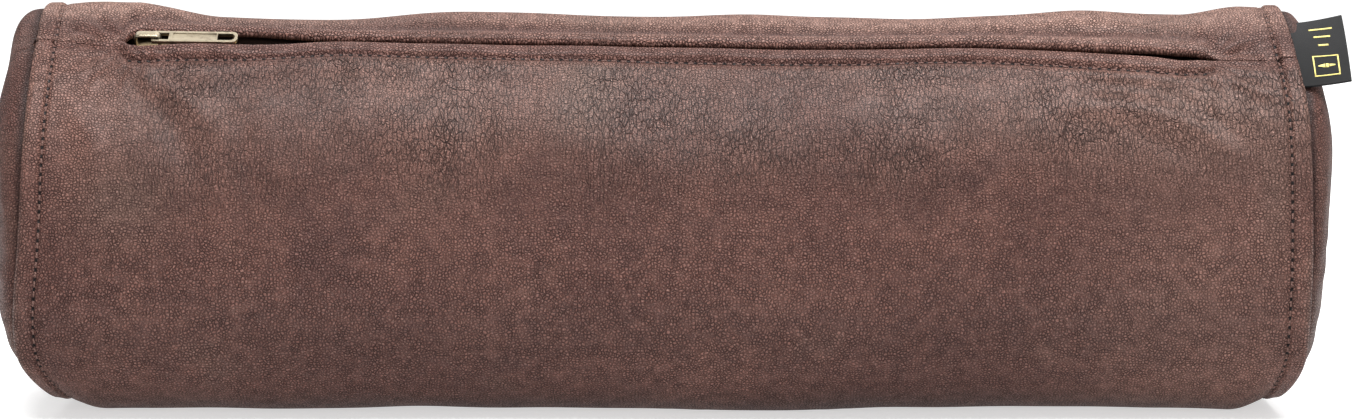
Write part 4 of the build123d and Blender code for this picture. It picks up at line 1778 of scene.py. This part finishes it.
@dataclass
class Zip:
    """Tapes and teeth."""

    tooth_pitch: float = 2.3 * MM
    tooth_length: float = 0.98 * MM
    tooth_outer: float = 3.05 * MM
    head_past_middle: float = 0.55 * MM
    tooth_cuts: tuple[float, float] = (1.35 * MM, 0.75 * MM)
    tooth_waist: float = 1.05 * MM
    teeth_reach: float = 160.0 * MM
    tape_reach: float = 188.0 * MM
    tape_thickness: float = 0.6 * MM
    level: float = field(init=False)
    tall: float = field(init=False)

    def __post_init__(self) -> None:
        """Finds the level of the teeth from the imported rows."""
        points = coordinates(frame["nodes"]["zip_teeth_left"])
        heights = (points - np.array(case.zip_middle)) @ np.array(case.out)
        self.level = float(heights.min() + heights.max()) / 2
        self.tall = float(heights.max() - heights.min())

    def tooth(self, side: Side) -> tuple[Array, list[tuple[int, ...]]]:
        """One tooth: a bevelled leg that grips the tape and a rounded head.

        Args:
            side: which tape it grips.

        Returns:
            Its points in the zip's frame and its faces.
        """
        bpy.ops.object.select_all(action="DESELECT")
        bpy.ops.mesh.primitive_cube_add(size=1.0)
        piece = bpy.context.object
        inner, outer = -self.head_past_middle, self.tooth_outer
        places = coordinates(piece)
        places[:, 0] *= self.tooth_length
        places[:, 1] = (places[:, 1] + 0.5) * (outer - inner) + inner
        places[:, 2] *= self.tall
        set_coordinates(piece, places)
        only(piece)
        bpy.ops.object.mode_set(mode="EDIT")
        for cut in self.tooth_cuts:
            bpy.ops.mesh.select_all(action="SELECT")
            bpy.ops.mesh.bisect(plane_co=(0.0, cut, 0.0), plane_no=(0.0, 1.0, 0.0), use_fill=False)
        bpy.ops.object.mode_set(mode="OBJECT")
        places = coordinates(piece)
        waist = hump(places[:, 1], self.tooth_waist, 0.5 * MM)
        places[:, 2] *= 1.0 - 0.22 * waist
        places[:, 0] *= np.where(places[:, 1] < 0.7 * MM, 0.92, 1.0) * (1.0 - 0.18 * waist)
        set_coordinates(piece, places)
        modify(piece, "BEVEL", width=0.16 * MM, segments=2, limit_method="ANGLE")
        places = coordinates(piece)
        places[:, 1] *= -side.value
        faces = [tuple(p.vertices) for p in piece.data.polygons]
        bpy.data.objects.remove(piece)
        return places, faces

    def build_teeth(self, brass: bpy.types.Material) -> None:
        """Builds each half row of teeth as one piece.

        Args:
            brass: the teeth's metal.
        """
        count = int(2 * self.teeth_reach / self.tooth_pitch)
        for side in Side:
            shape, faces = self.tooth(side)
            xs = -self.teeth_reach + (np.arange(count) + 0.5 + side.value / 4) * self.tooth_pitch
            for half in Half:
                mine = xs[xs * half.value > 0]
                local = np.stack([shape + np.array([x, 0.0, self.level]) for x in mine])
                points = in_zip(local[..., 0], local[..., 1], local[..., 2])
                piece = copies(f"teeth_{side.word}_{half.word}", points, faces)
                smooth(piece, 40.0)
                dress(piece, brass)
                fixed = ("zip_teeth_left",) if half is Half.LEFT else ()
                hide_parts(f"zip_teeth_{side.word}", *fixed)
                case.follow_mouth(piece, side, half)
                log.info("%s: %d teeth", piece.name, len(mine))

    def build_tapes(self, cloth: bpy.types.Material) -> None:
        """Builds the two tapes, each level beside its teeth and then up to the lining's edge.

        Args:
            cloth: the tape.
        """
        for side in Side:
            xs = np.arange(-self.tape_reach, self.tape_reach + MM, 2.0 * MM)
            across = np.array([2.2, 3.2, 4.2, 5.3, 6.4, 7.5, 8.6, 10.0, 11.5, 13.0, 14.6]) * MM
            piece, column, row = grid(f"tape_{side.word}", len(xs), len(across))
            x, off = xs[column], across[row]
            level = in_zip(x, -side.value * off, np.full(len(x), self.level))
            s = case.centre_line(x) + side.value * off
            risen = case.skin(x, s, np.full(len(x), 3.1 * MM))
            share = smoothstep(off, 4.9 * MM, 9.0 * MM)[:, None]
            set_coordinates(piece, level * (1 - share) + risen * share)
            set_flat(piece, x, off)
            point_away(piece, CORE)
            thicken(piece, self.tape_thickness, offset=0.0)
            smooth(piece)
            nodes = {half: (f"zip_tape_{side.word}", f"zip_tape_ends_{half.word}") for half in Half}
            case.halve(piece, side, cloth, nodes)

    def build(self) -> None:
        """Builds the teeth and the tapes."""
        self.build_teeth(TEETH_BRASS.make())
        self.build_tapes(TAPE.make())


# ------------------------------------------------------------------ metal fittings


@dataclass
class Fitting:
    """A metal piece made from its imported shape, with its edges rounded."""

    node: str
    body: str
    finish: AgedBrass
    slot: str
    radius: float = 0.22 * MM
    segments: int = 3

    def build(self) -> None:
        """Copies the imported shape, joins its flat faces, bevels it and dresses it."""
        source = frame["nodes"][self.node]
        piece = bpy.data.objects.new(f"{self.node}_metal", source.data.copy())
        bpy.context.scene.collection.objects.link(piece)
        only(piece)
        bpy.ops.object.mode_set(mode="EDIT")
        bpy.ops.mesh.select_all(action="SELECT")
        bpy.ops.mesh.remove_doubles(threshold=0.005 * MM)
        bpy.ops.mesh.dissolve_limited(angle_limit=math.radians(4.0))
        bpy.ops.mesh.normals_make_consistent(inside=False)
        bpy.ops.object.mode_set(mode="OBJECT")
        settings = {"width": self.radius, "segments": self.segments, "limit_method": "ANGLE"}
        modify(piece, "BEVEL", angle_limit=math.radians(30.0), **settings)
        smooth(piece, 35.0)
        dress(piece, self.finish.make())
        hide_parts(self.node)
        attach(piece, self.body)
        log.info("%s: %d faces", piece.name, len(piece.data.polygons))


# ------------------------------------------------------------------ label


@dataclass(frozen=True)
class Patch:
    """A raised patch of thread: its two places across and two along, and its width at each end."""

    across: tuple[float, float]
    along: tuple[float, float]
    widths: tuple[float, float] = (1.0, 1.0)
    rows: ClassVar[int] = 9
    columns: ClassVar[int] = 5
    edge_height: ClassVar[float] = 0.02 * MM
    height: ClassVar[float] = 0.14 * MM

    def points(self) -> list[Place]:
        """Its points, row by row.

        Returns:
            The place across, the place along and the height of each, in metres.
        """
        (a0, a1), (x0, x1) = self.across, self.along
        last_row, last_column = self.rows - 1, self.columns - 1
        found = []
        for i in range(self.rows):
            t = i / last_row
            width = self.widths[0] + (self.widths[1] - self.widths[0]) * t
            for j in range(self.columns):
                a = (a0 + a1) / 2 + (a1 - a0) * (j / last_column - 0.5) * width
                at_edge = i in (0, last_row) or j in (0, last_column)
                found.append((a, x0 + (x1 - x0) * t, self.edge_height if at_edge else self.height))
        return found

    @classmethod
    def faces(cls, place: int) -> list[tuple[int, ...]]:
        """The faces of the patch at a place in a row of patches.

        Args:
            place: how many patches come before it.

        Returns:
            The faces.
        """
        first = place * cls.rows * cls.columns
        corners = [first + i * cls.columns + j for i in range(cls.rows - 1) for j in range(cls.columns - 1)]
        return [(a, a + 1, a + cls.columns + 1, a + cls.columns) for a in corners]


@dataclass
class Label:
    """A folded woven label caught in the right end seam, with a small brush worked on it."""

    thickness: float = 0.75 * MM
    cloth: float = 0.3 * MM
    thread: float = 0.1 * MM
    flatness: float = 0.65
    rise: float = 3.4 * MM
    first: float = -16.5 * MM
    last: float = 18.0 * MM
    reach: float = 16.6 * MM
    tail: float = 4.0 * MM
    inset: float = -0.1 * MM

    def place(self, across: Array, along: Array, height: Array) -> Array:
        """Points on the label.

        Args:
            across: 0 at its upper edge to 1 at its lower edge.
            along: distance out of the seam.
            height: height above its face.

        Returns:
            The points in the case's frame.
        """
        s = self.first + (self.last - self.first) * across
        t = np.clip(along / self.reach, 0.0, 1.0)
        y, z = case.outline.place(s, self.inset - height)
        chord_y, chord_z = case.outline.place(np.array([self.first, self.last]), np.array([self.inset] * 2))
        flat_y = chord_y[0] + (chord_y[1] - chord_y[0]) * across
        flat_z = chord_z[0] + (chord_z[1] - chord_z[0]) * across
        flat = self.flatness * t
        lift = self.rise * t**1.4 * (1.0 - 0.30 * across)
        out = np.array(case.out)
        y = y * (1 - flat) + (flat_y + out[1] * height) * flat + out[1] * lift
        z = z * (1 - flat) + (flat_z + out[2] * height) * flat + out[2] * lift
        lean = -1.4 * MM * across * (0.3 + 0.7 * t)
        return np.stack([case.half_seam + along - 0.9 * MM * t + lean, y, z], -1)

    def build(self) -> None:
        """Builds the folded strip and the mark on it."""
        columns, rows = 41, 61
        piece, column, row = grid("woven_label", columns, rows)
        across = column / (columns - 1)
        path = row / (rows - 1)
        total = self.reach + self.tail
        fold = 0.06
        upper = np.clip(path / (0.5 - fold), 0.0, 1.0)
        under = np.clip((1.0 - path) / (0.5 - fold), 0.0, 1.0)
        turn = np.clip((path - 0.5 + fold) / (2 * fold), 0.0, 1.0) * np.pi
        r = self.thickness / 2
        along = np.where(path < 0.5, upper, under) * total - self.tail + r * np.sin(turn)
        height = r * np.cos(turn)
        set_coordinates(piece, self.place(across, along, height))
        set_flat(piece, across * (self.last - self.first), along)
        thicken(piece, self.cloth)
        turn_out(piece)
        smooth(piece, 50.0)
        dress(piece, LABEL.make())
        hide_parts("label")
        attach(piece, "case")
        self.build_mark()
        log.info("%s: %d faces", piece.name, len(piece.data.polygons))

    def patches(self) -> list[Patch]:
        """The mark's patches: a thin frame round a small paintbrush, and three bars.

        Returns:
            The patches, with their places from the label's upper edge and from the seam.
        """
        left, right, top, bottom, line = 4.2 * MM, 13.4 * MM, 21.5 * MM, 31.0 * MM, 0.55 * MM
        middle = (top + bottom) / 2
        frame_sides = [
            Patch((top, top + line), (left, right)),
            Patch((bottom - line, bottom), (left, right)),
            Patch((top + line, bottom - line), (left, left + line)),
            Patch((top + line, bottom - line), (right - line, right)),
        ]
        brush = [
            Patch((middle - 0.9 * MM, middle + 0.9 * MM), (left + 1.6 * MM, left + 4.2 * MM), (0.25, 1.0)),
            Patch((middle - 0.9 * MM, middle + 0.9 * MM), (left + 4.4 * MM, left + 5.4 * MM)),
            Patch((middle - 0.65 * MM, middle + 0.65 * MM), (left + 5.6 * MM, right - 1.4 * MM), (1.0, 0.45)),
        ]
        bars = []
        for k in range(3):
            at, cut = (6.5 + 4.6 * k) * MM, (0.6 + 1.1 * k) * MM
            bars.append(Patch((at, at + 0.9 * MM), (left + cut, right - cut)))
        return frame_sides + brush + bars

    def build_mark(self) -> None:
        """The mark in raised thread."""
        wide = self.last - self.first
        patches = self.patches()
        points = np.array([point for patch in patches for point in patch.points()])
        faces = [face for k in range(len(patches)) for face in Patch.faces(k)]
        across = points[:, 0] / wide
        places = self.place(across, points[:, 1], self.thickness / 2 + points[:, 2])
        mesh = bpy.data.meshes.new("label_mark")
        mesh.from_pydata(places.tolist(), [], faces)
        piece = bpy.data.objects.new("label_mark", mesh)
        bpy.context.scene.collection.objects.link(piece)
        set_flat(piece, across * wide, points[:, 1])
        only(piece)
        mesh.polygons.foreach_set("use_smooth", [True] * len(mesh.polygons))
        if mesh.polygons[0].normal.dot(case.out) < 0:
            mesh.flip_normals()
        thicken(piece, self.thread)
        dress(piece, MARK.make())
        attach(piece, "case")
        log.info("%s: %d faces", piece.name, len(piece.data.polygons))


# ------------------------------------------------------------------ studio


@dataclass(frozen=True)
class Lamp:
    """An area light: where it hangs, what it points at, its width and height and its watts."""

    name: str
    place: Place
    aim: Place
    size: tuple[float, float]
    watts: float

    def hang(self) -> None:
        """Adds the light to the scene."""
        data = bpy.data.lights.new(self.name, "AREA")
        data.shape = "RECTANGLE"
        data.size, data.size_y = self.size
        data.energy = self.watts
        lamp = bpy.data.objects.new(self.name, data)
        lamp.location = self.place
        lamp.rotation_euler = (Vector(self.aim) - Vector(self.place)).to_track_quat("-Z", "Y").to_euler()
        bpy.context.scene.collection.objects.link(lamp)


LAMPS = (
    Lamp("above", (0.12, -0.30, 1.2), (0.02, 0.0, 0.1), (1.4, 0.5), 39.5),
    Lamp("behind", (0.0, 0.75, 1.1), (0.0, 0.0, 0.1), (2.4, 0.9), 17.0),
    Lamp("key", (-0.10, -1.45, 0.75), (0.0, 0.0, 0.07), (0.45, 0.35), 2.6),
)


@dataclass
class Studio:
    """A white floor, a big soft light above, one behind, a small one in front, and the camera."""

    floor_size: float = 6.0
    floor_dark: Colour = (0.62, 0.62, 0.62)
    floor_light: Colour = (0.64, 0.64, 0.64)
    glow_near: Colour = (0.58, 0.58, 0.58)
    glow_far: Colour = (0.85, 0.85, 0.85)
    world_strength: float = 0.28
    focal: float = 95.7
    distance: float = 1.2
    elevation: float = 7.0
    aim_height: float = 60.8 * MM
    aside: float = 3.3 * MM

    def floor(self) -> None:
        """The pale floor."""
        bpy.ops.object.select_all(action="DESELECT")
        bpy.ops.mesh.primitive_plane_add(size=self.floor_size, location=(0.0, 1.2, 0.0))
        floor = bpy.context.object
        floor.name = "floor"
        g = Graph("floor_white")
        tone = g.mix(g.noise(g.solid(), 40.0, 2.0), self.floor_dark, self.floor_light)
        far = g.part(g.solid(), 1).step(-0.9, -0.2)
        glow = g.mix(far, self.glow_near, self.glow_far)
        plain = {"Roughness": 0.8, "Specular_IOR_Level": 0.1, "Emission_Strength": 1.0}
        floor.data.materials.append(g.surface(Base_Color=tone, Emission_Color=glow, **plain))

    def camera(self) -> None:
        """The camera, level with the case and a little above it."""
        tilt = math.radians(self.elevation)
        data = bpy.data.cameras.new("camera")
        data.lens, data.sensor_width = self.focal, 36.0
        camera = bpy.data.objects.new("camera", data)
        back = Vector((0.0, -math.cos(tilt), math.sin(tilt)))
        camera.location = Vector((self.aside, 0.0, self.aim_height)) + back * self.distance
        camera.rotation_euler = (-back).to_track_quat("-Z", "Y").to_euler()
        bpy.context.scene.collection.objects.link(camera)
        bpy.context.scene.camera = camera

    def build(self) -> None:
        """Sets up the floor, the lights, the white surroundings and the camera."""
        self.floor()
        self.camera()
        for lamp in LAMPS:
            lamp.hang()
        world = bpy.data.worlds.new("surroundings")
        world.use_nodes = True
        background = world.node_tree.nodes["Background"]
        background.inputs["Color"].default_value = (1.0, 1.0, 1.0, 1.0)
        background.inputs["Strength"].default_value = self.world_strength
        bpy.context.scene.world = world
        bpy.context.scene.view_settings.view_transform = "Standard"


# ------------------------------------------------------------------ everything


def main() -> None:
    """Builds every sub-assembly in order."""
    logging.basicConfig(level=logging.INFO, format="%(message)s")
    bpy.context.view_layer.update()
    Studio().build()
    leather = LEATHER.make()
    LeatherWrap().build(leather)
    for half in Half:
        EndPanel(half).build(leather)
    Stitching().build()
    Lining().build()
    Zip().build()
    for fitting in (
        Fitting("slider_body", "slider", BRASS, "brass"),
        Fitting("slider_bail", "slider", PULL_BRASS, "brass", 0.42 * MM, 4),
        Fitting("pull_tab", "pull", PULL_BRASS, "pull", 0.26 * MM, 4),
        Fitting("zip_top_stops", "case", BRASS, "brass", 0.3 * MM),
        Fitting("zip_bottom_stop", "case", BRASS, "brass", 0.4 * MM),
    ):
        fitting.build()
    Label().build()


if __name__ == "__main__":
    main()
